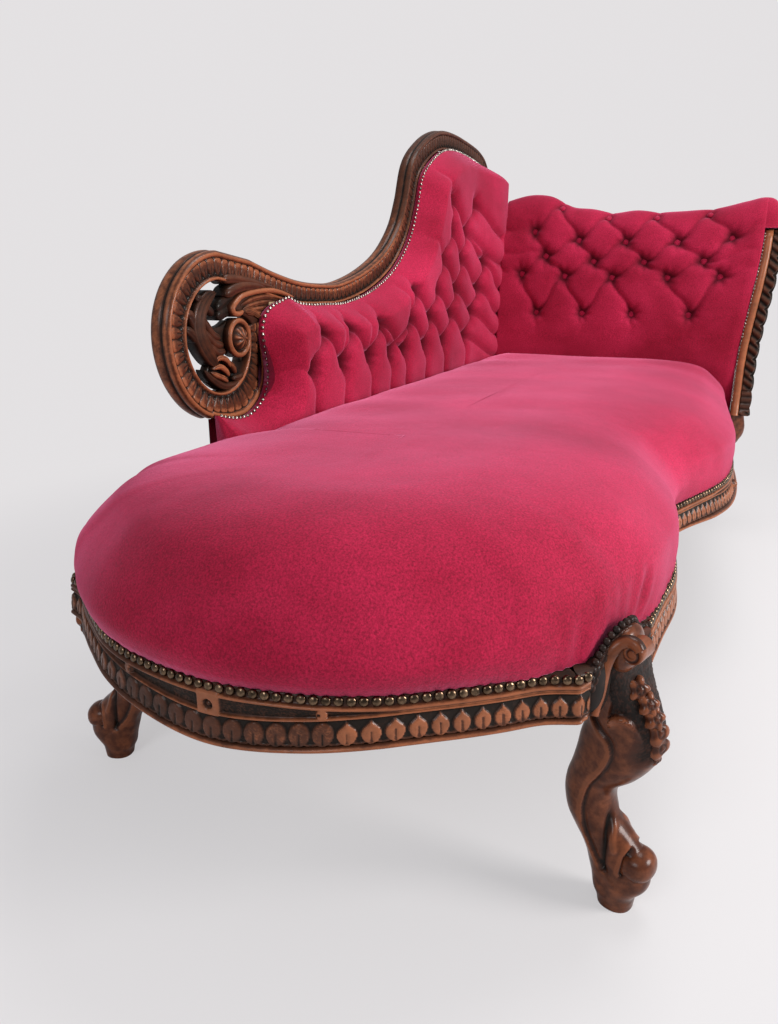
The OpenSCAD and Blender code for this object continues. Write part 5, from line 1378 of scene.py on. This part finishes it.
def leg_scroll(carving, hand, lower):
    """Adds the scroll on the side `hand` of a leg, lower by `lower` than on its drawing."""
    flip = np.array([1, hand, 1])
    first = len(carving.points)
    strap = curve(scroll_strap * flip, 5)
    t = np.linspace(0, 1, len(strap))
    turned = smooth((t - 0.3) / 0.5)[:, None]
    up = unit(mix(np.array([0.86, hand * 0.5, 0.1]), np.array([0.1, hand, 0.1]), turned))
    half = mix(4.6, 6.6, np.sin(math.pi * np.clip(t * 0.8 + 0.1, 0, 1)))
    carving.add(*strand(strap, up, half, 5.0))
    spiral_roll(carving, 2.5, 309, 10.5, hand * 43, hand * 16)
    carving.add(round_end((-24, hand * 57, 275), (12, 20, 30)), 0.04, caps=False)
    carving.add(round_end((-11, hand * 20, 304), (11, 23, 23), power=2.5), 0.6, caps=False)
    climb = curve(ruffle_line * flip, 6)
    ruffle = even(climb, 1.2)
    swing = 0.7 + 0.3 * np.abs(np.sin(lengths(ruffle) * math.pi / RUFFLE_PITCH))
    leaf, tone = strand(ruffle + [2, 0, -5.5], (0.55, hand * 0.6, 0.5), 5.2 * swing, 3.2 * swing, LEAF)
    carving.add(leaf, 0.35 * tone)
    edge = even(climb, RUFFLE_PITCH)
    ways = [np.array([0.55, hand * 0.5, 0.65])] * len(edge)
    carving.add_solid(*domes(edge + [0.6, 0, 0.6], ways, 3.7, nail_dome, sides=12), 0.12)
    drop = np.array([-0.4, -0.5 * hand, -1]) * lower
    carving.points[first:] = [p + drop for p in carving.points[first:]]


# %% The four legs
def make_leg(name, origin, turn_deg, out=0.0, hand=0, lower=0.0):
    """`hand` is the side of the leg that carries the scroll, 0 for a leg with a plain top."""
    carving = Carving()
    grid, tone, c, a, z = leg_body(out, hand != 0)
    carving.add(grid, tone)
    carving.add(round_end((12.5, 0, 59.5), (19.5, 20.5, 17)), 0.62, caps=False)
    if hand:
        leg_scroll(carving, hand, lower)
    for x0, y0, z0, size, petals in husk_places if hand else husk_places[3:]:
        i = int(round(z0 / LEG_RING))
        slope = np.gradient(c + a, z)[i]
        if not hand:
            x0, y0 = c[i] + a[i] - 3, 0
        normal = (1, hand * 0.045 * y0, -slope)
        carving.add(*husk((x0, hand * y0, z0), normal, size, petals), caps=False)
    ax = math.radians(turn_deg)
    across = np.array([[math.cos(ax), math.sin(ax), 0], [-math.sin(ax), math.cos(ax), 0], [0, 0, 1]])
    mesh = carving.mesh(name, lambda p: p @ across + [origin[0], origin[1], 0])
    return piece(name, mesh, leg_walnut, "walnut", name.removeprefix("carved_"))


FOOT_LEG_X = FOOT_X + 234
make_leg("carved_leg_foot_front", (FOOT_LEG_X, -310), -108, hand=-1)
make_leg("carved_leg_foot_back", (FOOT_LEG_X, 376), 108, hand=1, lower=16)
make_leg("carved_leg_head_front", (BLOCK_X + 168 * 0.42, HEAD_FRONT_Y + 100), -78, out=112)
make_leg("carved_leg_head_back", (HEAD_X - 103.2, BACK_Y - 17.5), 90)

# %% [markdown]
# ## Carved show frame
# The show frame is sawn from several pieces of walnut joined end to end, moulded, and carved with a row of
# leaves that point outward. Its section is swept along the line of the back. At the end of the scroll the
# moulding swells on its outer side, then draws in and runs beside the rosette.

# %% Show frame
LEAF_PITCH = 16.6
# Degrees round the scroll's end, and how far from its middle the frame's outer edge lies there
SWELL_ANGLES = [250, 265, 280, 293, 309, 320, 329, 338, 348, 361, 371]
SWELL_REACH = [118, 120, 126, 133, 134, 130, 121, 111, 101, 95, 97]


def half_wave(t):
    """0 at both sides of a band and 1 in its middle."""
    return math.sin(math.pi * t)


def frame_section():
    """Columns of the section: share across, share of the depth, relief, and the place in the leaf band."""
    cols = [(-0.9, 1, 0.55, -1), (-1, 0.9, 0.4, -1), (-1.02, 0.35, 0.2, -1)]
    cols += [(mix(-1, -0.72, t), 0.12 - 0.13 * half_wave(t) ** 0.6, 0.45 + 0.4 * half_wave(t), -1)
             for t in np.linspace(0, 1, 7)]
    cols += [(mix(-0.7, 0.5, t), 0.1, 0, 1 - t) for t in np.linspace(0, 1, 24)]
    cols += [(0.52, 0.12, 0.02, -1)]
    cols += [(mix(0.55, 0.93, t), 0.06 - 0.1 * half_wave(t) ** 0.7, 0.5 + 0.35 * half_wave(t), -1)
             for t in np.linspace(0.06, 1, 8)]
    cols += [(1.0, 0.17, 0.75, -1), (1.0, 0.26, 0.6, -1), (0.95, 0.33, 0.2, -1), (0.9, 0.38, 0.02, -1),
             (0.95, 0.43, 0.2, -1)]
    cols += [(mix(0.98, 0.96, t) + 0.07 * half_wave(t), mix(0.46, 0.88, t), 0.55 + 0.15 * half_wave(t), -1)
             for t in np.linspace(0, 1, 8)]
    cols += [(0.86, 0.96, 0.5, -1), (0.7, 1, 0.55, -1)]
    return np.array(cols).T


def frame_surface():
    """The show frame's skin and its relief."""
    across, deep, tone, v = frame_section()
    s = lengths(frame_line)
    width = face_width(frame_line[:, 0])
    # Round the scroll's end the outer edge swells, then draws in to run beside the rosette
    off = frame_line - VOL
    angle = np.where(s > s[-1] - lengths(volute)[-1], np.degrees(np.arctan2(off[:, 1], off[:, 0])) % 360, 0)
    angle = np.where((angle < 60) & (s > s[-1] - 120), angle + 360, angle)
    reach = np.interp(angle, SWELL_ANGLES, SWELL_REACH)
    total = np.where(angle > 250, reach - np.linalg.norm(off, axis=1) + width / 2, width)
    from_inner = (across[None] + 1) / 2 * total[:, None]
    leaf, leaf_tone = leaf_row((s / LEAF_PITCH)[:, None], v[None].clip(0), LEAF_PITCH + 0 * s[:, None],
                               0 * s[:, None], tall=3.2, rounded=SHIELD)
    in_band = v[None] >= 0
    rough = grain_rng.uniform(-1, 1, from_inner.shape)
    lift = np.where(in_band, leaf - 1.2 + 0.2 * rough, 0)
    # A leaf's outer end is rubbed, and its foot stands in a deep hollow beside the fillet, painted dark as
    # shade
    rubbed = 0.25 * smooth((0.35 - v[None]) / 0.3) * (leaf > 1.4)
    hollow_shade = 0.5 * bump(v[None] - 0.9, 0.12) * (leaf < 1.6)
    leaf_tone = leaf_tone + rubbed - hollow_shade
    tones = np.where(in_band, leaf_tone + 0.06 * rough, tone[None] + 0.05 * rough)
    # High up the frame is darker
    tones = tones * (1 - 0.36 * smooth((frame_line[:, 1:] - 620) / 180))
    xz = frame_line[:, None] + frame_in[:, None] * ((width / 2)[:, None] - from_inner)[..., None]
    y = FRAME_Y + deep[None] * FRAME_T - lift
    return np.stack([xz[..., 0], y, xz[..., 1]], -1), tones


frame_grid, frame_tone = frame_surface()
closed_piece("carved_show_frame", frame_grid, frame_tone, carved_walnut, "walnut", "back_show_frame")

# %% [markdown]
# ## Leaves inside the scroll
# The scroll is pierced, and an acanthus leaf fills it. The carver pierces the ground with a fretsaw first and
# then models each lobe, so a lobe has a rounded face and a deep, straight side, which is painted dark as
# shade. Each lobe here is a strip that follows a given line, with its own width, round tip and side wall.

# %% Lobes of the acanthus
# The leaf's drawing is in shares of LEAF_R, from the middle of the scroll, across and up
LEAF_R, LEAF_MIDDLE = 104, VOL - [2, 0]
# Sections of a lobe: place across, height, relief
RIBBED = [(-1, 0, 0.0), (-1, 0.1, 0.25), (-0.82, 0.55, 0.7), (-0.62, 0.3, 0.25), (-0.42, 0.8, 0.7),
          (-0.2, 0.5, 0.25), (0, 1, 0.85), (0.2, 0.5, 0.25), (0.42, 0.8, 0.7), (0.62, 0.3, 0.25),
          (0.82, 0.55, 0.7), (1, 0.1, 0.25), (1, 0, 0.0)]
LOBE = [(-1, 0, 0.0), (-1, 0.15, 0.3), (-0.85, 0.6, 0.6), (-0.55, 0.85, 0.75), (-0.3, 0.8, 0.5),
        (-0.12, 0.96, 0.7), (0.2, 1, 0.8), (0.55, 0.85, 0.75), (0.85, 0.6, 0.6), (1, 0.15, 0.3), (1, 0, 0.0)]


def lobe(carving, shares, half, rise=6, ends=(0.35, 0.12), worn=1.0, set_back=5.0, wall=20.0, profile=LOBE):
    """One lobe along a given line. `half` is half its width, `rise` its height, `ends` the share of its
    length over which each end rounds off, `worn` how light its face is, lowest where it paints shade on a
    lobe deep in the scroll, and `wall` the depth of its side, which is painted dark as shade."""
    line = even(curve(np.array(shares) * LEAF_R + LEAF_MIDDLE, 10), 1.3)
    t = lengths(line) / lengths(line)[-1]
    first = np.sqrt(1 - np.clip((ends[0] - t) / ends[0], 0, 0.995) ** 2)
    last = np.sqrt(1 - np.clip((t - 1 + ends[1]) / ends[1], 0, 0.995) ** 2)
    taper = first * last
    n = side(line)
    shape = np.array(profile)
    xz = line[:, None] + n[:, None] * (shape[None, :, 0] * (half * taper)[:, None])[..., None]
    y = FRAME_Y + set_back - rise * (0.25 + 0.75 * taper)[:, None] * shape[None, :, 1]
    y[:, [0, -1]] = FRAME_Y + set_back + wall
    # The relief falls nearly to 0 at the foot of each side wall, painting the wall dark as shade
    relief = shape[None, :, 2] * worn * (0.6 + 0.4 * taper)[:, None]
    carving.add(np.stack([xz[..., 0], y, xz[..., 1]], -1), relief)


def plate(carving, shares, set_back, depth, tone):
    """A flat piece of ground between the lobes, painted dark as shade."""
    p = loop_curve(np.array(shares) * LEAF_R + LEAF_MIDDLE, 4)
    middle = p.mean(0)
    front = FRAME_Y + set_back
    rings = []
    for share, y in ((0.02, front), (0.5, front), (0.92, front), (1, front + 1.5), (1, front + depth),
                     (0.02, front + depth)):
        ring = mix(middle, p, share)
        rings.append(np.column_stack([ring[:, 0], np.full(len(p), y), ring[:, 1]]))
    relief = np.array([tone, tone, tone, tone * 0.7, 0.3, 0.3])[:, None]
    carving.add(np.array(rings), relief)


scroll = Carving()
# Ground behind the fronds at the top, in the middle, below, and beside the frame's end; its dark tone is
# painted shade
plate(scroll, [
    (0.42, 0.34), (0.36, 0.46), (0.6, 0.58), (1.0, 0.66), (1.4, 0.62), (1.85, 0.42), (1.5, 0.3), (1.24, 0.24),
    (1.06, 0.2), (1.0, 0.04), (0.98, -0.1), (0.86, -0.1), (0.84, 0.08), (0.7, 0.22)], 3, 18, 0.3)
plate(scroll, [
    (-0.48, 0.12), (-0.3, 0.2), (-0.1, 0.14), (0.1, 0.16), (0.3, 0.22), (0.42, 0.0), (0.25, -0.22),
    (0.08, -0.26), (-0.14, -0.3), (-0.34, -0.16)], 8, 14, 0.12)
plate(scroll, [
    (-0.3, -0.42), (-0.1, -0.3), (0.1, -0.4), (0.25, -0.5), (0.3, -0.7), (0.05, -0.76), (-0.25, -0.62)],
    10, 12, 0.05)
plate(scroll, [(0.5, -0.25), (0.75, -0.3), (0.85, -0.5), (0.75, -0.7), (0.5, -0.72), (0.62, -0.5)],
      12, 12, 0.03)
# Upper fronds, from the outermost one in
lobe(scroll, [(1.4, 0.66), (1.09, 0.7), (0.67, 0.76), (0.37, 0.79), (0.1, 0.79)], 7.5, 7, (0.5, 0.1), 0.62)
lobe(scroll, [(1.2, 0.66), (0.67, 0.69), (0.36, 0.65), (0.13, 0.57)], 8.5, 8, (0.5, 0.13), 0.6, set_back=4)
# These two lobes lie deep in the scroll; their low worn paints them near black as shade
lobe(scroll, [(0.62, 0.6), (0.35, 0.54), (0.16, 0.47), (-0.02, 0.38)], 8.5, 5, (0.4, 0.2), 0.12, set_back=9)
lobe(scroll, [(0.36, 0.38), (0.15, 0.34), (-0.02, 0.27)], 9, 5, (0.4, 0.3), 0.1, set_back=9)
# The bright rolled edge that curls over, and the fine ribs inside it
lobe(scroll, [
    (2.0, 0.5), (1.39, 0.61), (0.92, 0.61), (0.53, 0.56), (0.34, 0.47), (0.25, 0.39), (0.29, 0.32),
    (0.42, 0.31), (0.52, 0.35)], 4.6, 7, (0.35, 0.06), 1.15, set_back=1.5, profile=ROLL)
for line in (
        [(1.55, 0.5), (1.2, 0.53), (0.8, 0.5), (0.5, 0.42)],
        [(1.4, 0.45), (1.1, 0.45), (0.78, 0.42), (0.56, 0.37)],
        [(1.2, 0.38), (0.98, 0.36), (0.76, 0.35), (0.6, 0.33)],
        [(1.06, 0.3), (0.92, 0.29), (0.78, 0.3), (0.64, 0.31)]):
    lobe(scroll, line, 4.4, 5, (0.4, 0.3), 0.85, set_back=4, wall=8)
lobe(scroll, [(0.52, 0.33), (0.62, 0.36), (0.8, 0.32), (1.0, 0.22)], 5, 8, (0.3, 0.4), 1.05, set_back=2.5,
     profile=RIBBED)
# The stem on the left, with the tips and fronds that grow from it
lobe(scroll, [
    (-0.14, -0.38), (-0.3, -0.22), (-0.47, 0.02), (-0.5, 0.23), (-0.41, 0.42), (-0.23, 0.56), (-0.07, 0.61)],
    13, 13, (0.3, 0.5), 0.6, set_back=6, wall=16, profile=RIBBED)
for line, half, worn in (
        ([(-0.44, 0.36), (-0.4, 0.5), (-0.52, 0.57)], 6.5, 0.3),
        ([(-0.5, 0.05), (-0.6, 0.25), (-0.67, 0.34), (-0.76, 0.31)], 8, 0.5),
        ([(-0.52, -0.04), (-0.66, 0.1), (-0.78, 0.17)], 7, 0.4),
        ([(-0.4, 0.42), (-0.26, 0.4), (-0.15, 0.31)], 6.5, 0.2),
        ([(-0.44, 0.34), (-0.3, 0.17), (-0.18, 0.04), (0.0, -0.01)], 7, 0.55),
        ([(-0.43, 0.16), (-0.28, 0.02), (-0.13, -0.08), (0.06, -0.11)], 7, 0.6),
        ([(-0.38, -0.02), (-0.24, -0.12), (-0.1, -0.2), (0.1, -0.2)], 6.5, 0.55)):
    lobe(scroll, line, half, 7, (0.5, 0.3), worn, set_back=7, wall=15)
# The frond along the bottom, and the small leaves above it
lobe(scroll, [(0.72, -0.46), (0.45, -0.66), (0.07, -0.7), (-0.24, -0.56), (-0.4, -0.42)], 6, 6, (0.3, 0.3),
     0.45, set_back=8, wall=14)
for line, worn in (
        ([(-0.24, -0.34), (-0.08, -0.28), (0.08, -0.32), (0.2, -0.44)], 1.1),
        ([(-0.26, -0.42), (-0.1, -0.4), (0.04, -0.46), (0.14, -0.56)], 1.15),
        ([(-0.3, -0.46), (-0.16, -0.52), (0.0, -0.58), (0.1, -0.64)], 1.0),
        ([(0.1, -0.34), (0.22, -0.42), (0.3, -0.54)], 0.8),
        ([(0.5, -0.56), (0.36, -0.6), (0.2, -0.6)], 0.5)):
    lobe(scroll, line, 4.6, 6, (0.45, 0.35), worn, set_back=5, wall=12)
piece("scroll_leaves", scroll.mesh("scroll_leaves"), carved_walnut, "walnut", "volute_carving")

# %% Rosette
ROSETTE_R, PETALS = 29.5, 8
ROSETTE_X, ROSETTE_Z = VOL[0] - 8 + 0.43 * LEAF_R, VOL[1] - 0.03 * LEAF_R
# Rings from the middle out: share of the radius, height, relief
rosette_rings = np.array([
    (0.02, 12.0, 0.5), (0.12, 11.8, 0.55), (0.26, 11, 0.52), (0.4, 9.2, 0.48), (0.52, 6.4, 0.4),
    (0.6, 2.8, 0.2), (0.64, -0.5, 0.0), (0.68, -0.8, 0.0), (0.72, 2.0, 0.35), (0.77, 5.4, 0.9),
    (0.84, 6.8, 1.1), (0.92, 6.2, 1.05), (0.98, 4.0, 0.8), (1.0, 1.0, 0.4), (1.0, -14, 0.0)])
rr, kk = rosette_rings[:, :1], (np.arange(72) / 72 * math.tau)[None]
petal = np.cos(kk * PETALS + 2.6 * rr)
on_dome = smooth((0.6 - rr) / 0.08) * smooth(rr / 0.15)
lift = rosette_rings[:, 1:2] + 0.8 * petal * on_dome
shade = rosette_rings[:, 2:] + 0.28 * petal * on_dome
rosette = np.stack([ROSETTE_X + ROSETTE_R * rr * np.cos(kk), FRAME_Y + 1 - lift,
                    ROSETTE_Z + ROSETTE_R * rr * np.sin(kk)], -1)
closed_piece("carved_rosette", rosette, shade, carved_walnut, "walnut", "volute_rosette")

# %% Nails round the scroll and under the sweep
edge_run = velvet_edge[:-6]
edge_spots = np.column_stack([edge_run[:, 0], np.full(len(edge_run), FRAME_Y - 9.6), edge_run[:, 1]])
edge_facing = np.broadcast_to([-0.1, -1, 0.1], edge_spots.shape)
nails("back_nails", edge_spots, 9.9, 3.3, edge_facing, bright_brass, jitter=0.25, seed=6)

# %% [markdown]
# ## Facing of the head
# A carved facing closes the front end of the head roll: a bead next to the velvet, then a band of carved
# husks, and a round boss at the top. It is one section swept up between two given edges, so that it can widen
# at the foot and round off at the top. It leans forward as it rises, with the roll.

# %% Carved facing
FACING_W, FACING_H, HUSK_PITCH = 58, 411.6, 40


def facing_edge(shares, first, last, count):
    """One edge of the facing: up from the rail, then round the disc from one angle to the other."""
    places = [(HEAD_FACE_X + a * FACING_W, RAIL_TOP + b * FACING_H) for a, b in shares]
    turn = np.radians(np.linspace(first, last, count))
    disc = np.column_stack([DISC_X + DISC_R * np.cos(turn), DISC_Z + DISC_RISE * np.sin(turn)])
    line = even(np.vstack([curve(places, 10), disc]), 1.4)
    k = np.linspace(0, 1, 340)
    return np.stack([np.interp(k, np.linspace(0, 1, len(line)), line[:, i]) for i in (0, 1)], 1)


def facing_surface():
    """The facing's skin and its relief, and the line of its left edge."""
    left = facing_edge([[-0.34, 0], [-0.14, 0.07], [-0.02, 0.18], [0, 0.33], [0.06, 0.5], [0.14, 0.65],
                        [0.26, 0.8], [0.42, 0.92]], 160, 92, 12)
    right = facing_edge([[1.5, 0], [1.3, 0.06], [1.06, 0.16], [1, 0.3], [1.06, 0.45], [1.2, 0.6],
                         [1.42, 0.74], [1.75, 0.86]], -15, 88, 18)
    width = np.linalg.norm(right - left, axis=1)[:, None]
    z = left[:, 1:]
    u = lengths(left)[:, None] / HUSK_PITCH
    phi, t = np.linspace(0, math.pi, 13)[None], np.linspace(0, 1, 24)[None]
    edge = 0.6 + 0.38 * np.abs(np.cos(math.pi * u)) ** 0.6
    body = smooth((edge - t) / 0.12)
    ribs = np.abs(np.sin(math.pi * (2 * u + 0.9 * t)))
    block = smooth((364 - z) / 5) * smooth((z - 306) / 5) + 0 * t
    reeds = np.abs(np.sin(z * math.pi / 15)) + 0 * t
    one = np.ones_like(u)
    # Columns from the bead beside the velvet, over the band of husks, to the plain back edge
    band = mix(15 - body * (9 + 5 * ribs), 6 - 4 * reeds, block)
    across = np.hstack([6 * one, 3 - 8 * np.sin(phi) * one, 5.5 * one, 7 * one, band,
                        np.minimum(width * 0.5, 20), width * 0.7, width - 3, width, width])
    # The band stands out further towards its rounded back edge
    round_edge = 43 + 4 * np.abs(np.cos(math.pi * u)) ** 0.6
    deep = np.hstack([0 * one, 10.5 - 9.5 * np.cos(phi) * one, 20.4 * one, 21 * one,
                      21.5 + (round_edge - 22) * t, round_edge, 42 * one, 38 * one, 20 * one, 0 * one])
    # Low tones between the husks and in the grooves beside the bead are dust and painted shade
    band_tone = mix(0.03 + 0.42 * body * ribs ** 2, 0.1 + 0.3 * reeds, block)
    tone = np.hstack([0 * one, 0.45 + 0.6 * np.sin(phi) * one, 0.02 * one, 0.02 * one, band_tone, 0.2 * one,
                      0.3 * one, 0.3 * one, 0.2 * one, 0 * one])
    deep = deep + head_flare(z)
    ahead = unit(right - left)
    xz = left[:, None] + ahead[:, None] * across[..., None]
    return np.stack([xz[..., 0], HEAD_FRONT_Y - deep, xz[..., 1]], -1), tone, left


facing_grid, facing_tone, facing_left = facing_surface()
facing = Carving()
facing.add(facing_grid, facing_tone)
BOSS_R = 31
# Rings of the boss from the outside in: share of the radius, height, relief
boss = np.array([
    (0.98, 0.1, 0.2), (1.0, 0.45, 0.6), (0.96, 0.62, 0.9), (0.84, 0.7, 0.9), (0.7, 0.6, 0.2),
    (0.6, 0.62, 0.1), (0.5, 0.85, 0.7), (0.36, 1.0, 0.95), (0.2, 1.0, 0.8), (0.03, 0.96, 0.3)])
rr, kk = boss[:, :1], (np.arange(60) / 60 * math.tau)[None]
boss_grid = np.stack([DISC_X + BOSS_R * rr * np.cos(kk), HEAD_FRONT_Y - 46 - BOSS_R * boss[:, 1:2] + 0 * kk,
                      DISC_Z + BOSS_R * rr * np.sin(kk)], -1)
facing.add(boss_grid, boss[:, 2:] + 0.2 * np.sin(2 * kk + 7 * rr))
piece("carved_facing", facing.mesh("carved_facing"), carved_walnut, "walnut", "head_facing")
gimp = facing_left[(facing_left[:, 1] > 330) & (facing_left[:, 1] < 735)]
gimp_y = HEAD_FRONT_Y - 1.5 - head_flare(gimp[:, 1])
gimp_spots = np.column_stack([gimp[:, 0] - 1.2, gimp_y, gimp[:, 1]])
gimp_facing = np.broadcast_to([-1, -0.35, 0.1], gimp_spots.shape)
nails("facing_nails", gimp_spots, 8.2, 2.4, gimp_facing, bright_brass, seed=9)

# %% [markdown]
# ## Inner pieces
# The wooden frame, the webbing and the springs are hidden when the couch stands on its feet, but a reusable
# model shows them when it is taken apart. Rails, posts and blocks keep their CAD shape and get a plain wood
# finish. The springs are hourglass coils of steel wire, a helix whose radius is small in the middle.

# %% Finishes for the pieces that keep their CAD shape
plain_finishes = (
    (plain_walnut, ["back_rail", "head_rail"]),
    (beech, ["rail_dowels", "corner_blocks", "cross_rails", "back_posts", "back_tack_rail", "head_posts",
             "head_top_rail", "head_tack_rail"]),
    (steel, ["corner_screws"]),
    (jute, ["seat_webbing", "back_webbing", "head_webbing", "spring_hessian"]))
for finish, names in plain_finishes:
    for name in names:
        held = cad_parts[name].data.materials
        held.clear()
        held.append(finish)
print("plain pieces finished")

# %% Coil springs
COIL_TURNS, TURN_STEPS, WIRE_R = 5, 16, 1.9
SPRING_STEP_X, SPRING_INSET = 136, 42


def coil_springs():
    """Rows of springs in the space of the CAD ones."""
    low, high = [[v / MM for v in corner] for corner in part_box("seat_springs")]
    xs = np.arange(low[0] + SPRING_INSET, high[0] - 30, SPRING_STEP_X)
    ys = np.linspace(low[1] + SPRING_INSET, high[1] - SPRING_INSET, 3)
    t = np.linspace(0, 1, COIL_TURNS * TURN_STEPS + 1)
    radius = 26 + 15 * np.abs(2 * t - 1) ** 1.4
    angle = t * COIL_TURNS * math.tau
    height = mix(low[2] + 2, high[2] - 2, smooth(t) * 0.35 + t * 0.65)
    line = np.column_stack([radius * np.cos(angle), radius * np.sin(angle), height])
    ahead = unit(np.gradient(line, axis=0))
    out = unit(np.cross(ahead, [0, 0, 1]))
    over = np.cross(out, ahead)
    k = np.arange(6) / 6 * math.tau
    wire = out[:, None] * np.cos(k)[None, :, None] + over[:, None] * np.sin(k)[None, :, None]
    tube = line[:, None] + WIRE_R * wire
    springs = Carving()
    for x in xs:
        for y in ys:
            springs.add(tube + [x, y, 0], 0.5)
    return springs


piece("coil_springs", coil_springs().mesh("coil_springs"), steel, "steel", "seat_springs")

# %% [markdown]
# ## Covers
# The outside of the back and of the head is velvet stretched over the frame, and a black cotton cloth closes
# the underside. They are single sheets, cut to the outline of the frame. Each is tacked round its border, so
# it is flat there and moves a little in between.

# %% Stretched sheets
def cut_by_plane(bm, place, way, clear=False):
    """Cuts a mesh in two by a plane, and drops the part behind it if asked."""
    every = bm.verts[:] + bm.edges[:] + bm.faces[:]
    bmesh.ops.bisect_plane(bm, geom=every, plane_co=place, plane_no=way, clear_inner=clear)


def stretched(name, node_name, axis, way, finish, slot, sag, step=30, from_x=None):
    """A sheet from one flat side of a CAD cover, cut into squares of `step` so that it can sag."""
    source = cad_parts[node_name].data
    bm = bmesh.new()
    bm.from_mesh(source)
    bm.normal_update()
    bmesh.ops.delete(bm, geom=[f for f in bm.faces if f.normal[axis] * way < 0.9], context="FACES")
    bmesh.ops.remove_doubles(bm, verts=bm.verts, dist=1e-6)
    if from_x is not None:
        cut_by_plane(bm, (from_x * MM, 0, 0), (1, 0, 0), clear=True)
    across = [k for k in range(3) if k != axis]
    area = sum(f.calc_area() for f in bm.faces)
    low = [min(v.co[k] for v in bm.verts) for k in range(3)]
    high = [max(v.co[k] for v in bm.verts) for k in range(3)]
    for k in across:
        for place in np.arange(low[k] + step * MM, high[k], step * MM):
            cut, flat_way = [0, 0, 0], [0, 0, 0]
            cut[k], flat_way[k] = place, 1
            cut_by_plane(bm, cut, flat_way)
    border = np.array([v.co[:] for v in bm.verts if v.is_boundary])
    for v in bm.verts:
        gap = np.linalg.norm(border - np.array(v.co), axis=1).min() / MM
        wave = float(slow_waves(v.co[across[0]] / MM, v.co[across[1]] / MM, 31, low=130, high=420))
        v.co[axis] += way * MM * float(smooth(gap / 90)) * (sag + 1.4 * wave)
    mesh = bpy.data.meshes.new(name)
    bmesh.ops.recalc_face_normals(bm, faces=bm.faces)
    bm.to_mesh(mesh)
    bm.free()
    mesh.shade_smooth()
    sheet = piece(name, mesh, finish, slot, node_name)
    return sheet


stretched("underside_cloth", "dust_cover", 2, -1, black_cotton, "lining",
          2.0)
stretched("outside_back_velvet", "outside_back_cover", 1, 1, velvet, "velvet",
          -1.2, from_x=-416)
stretched("outside_head_velvet", "outside_head_cover", 0, 1, velvet, "velvet",
          -1.0)
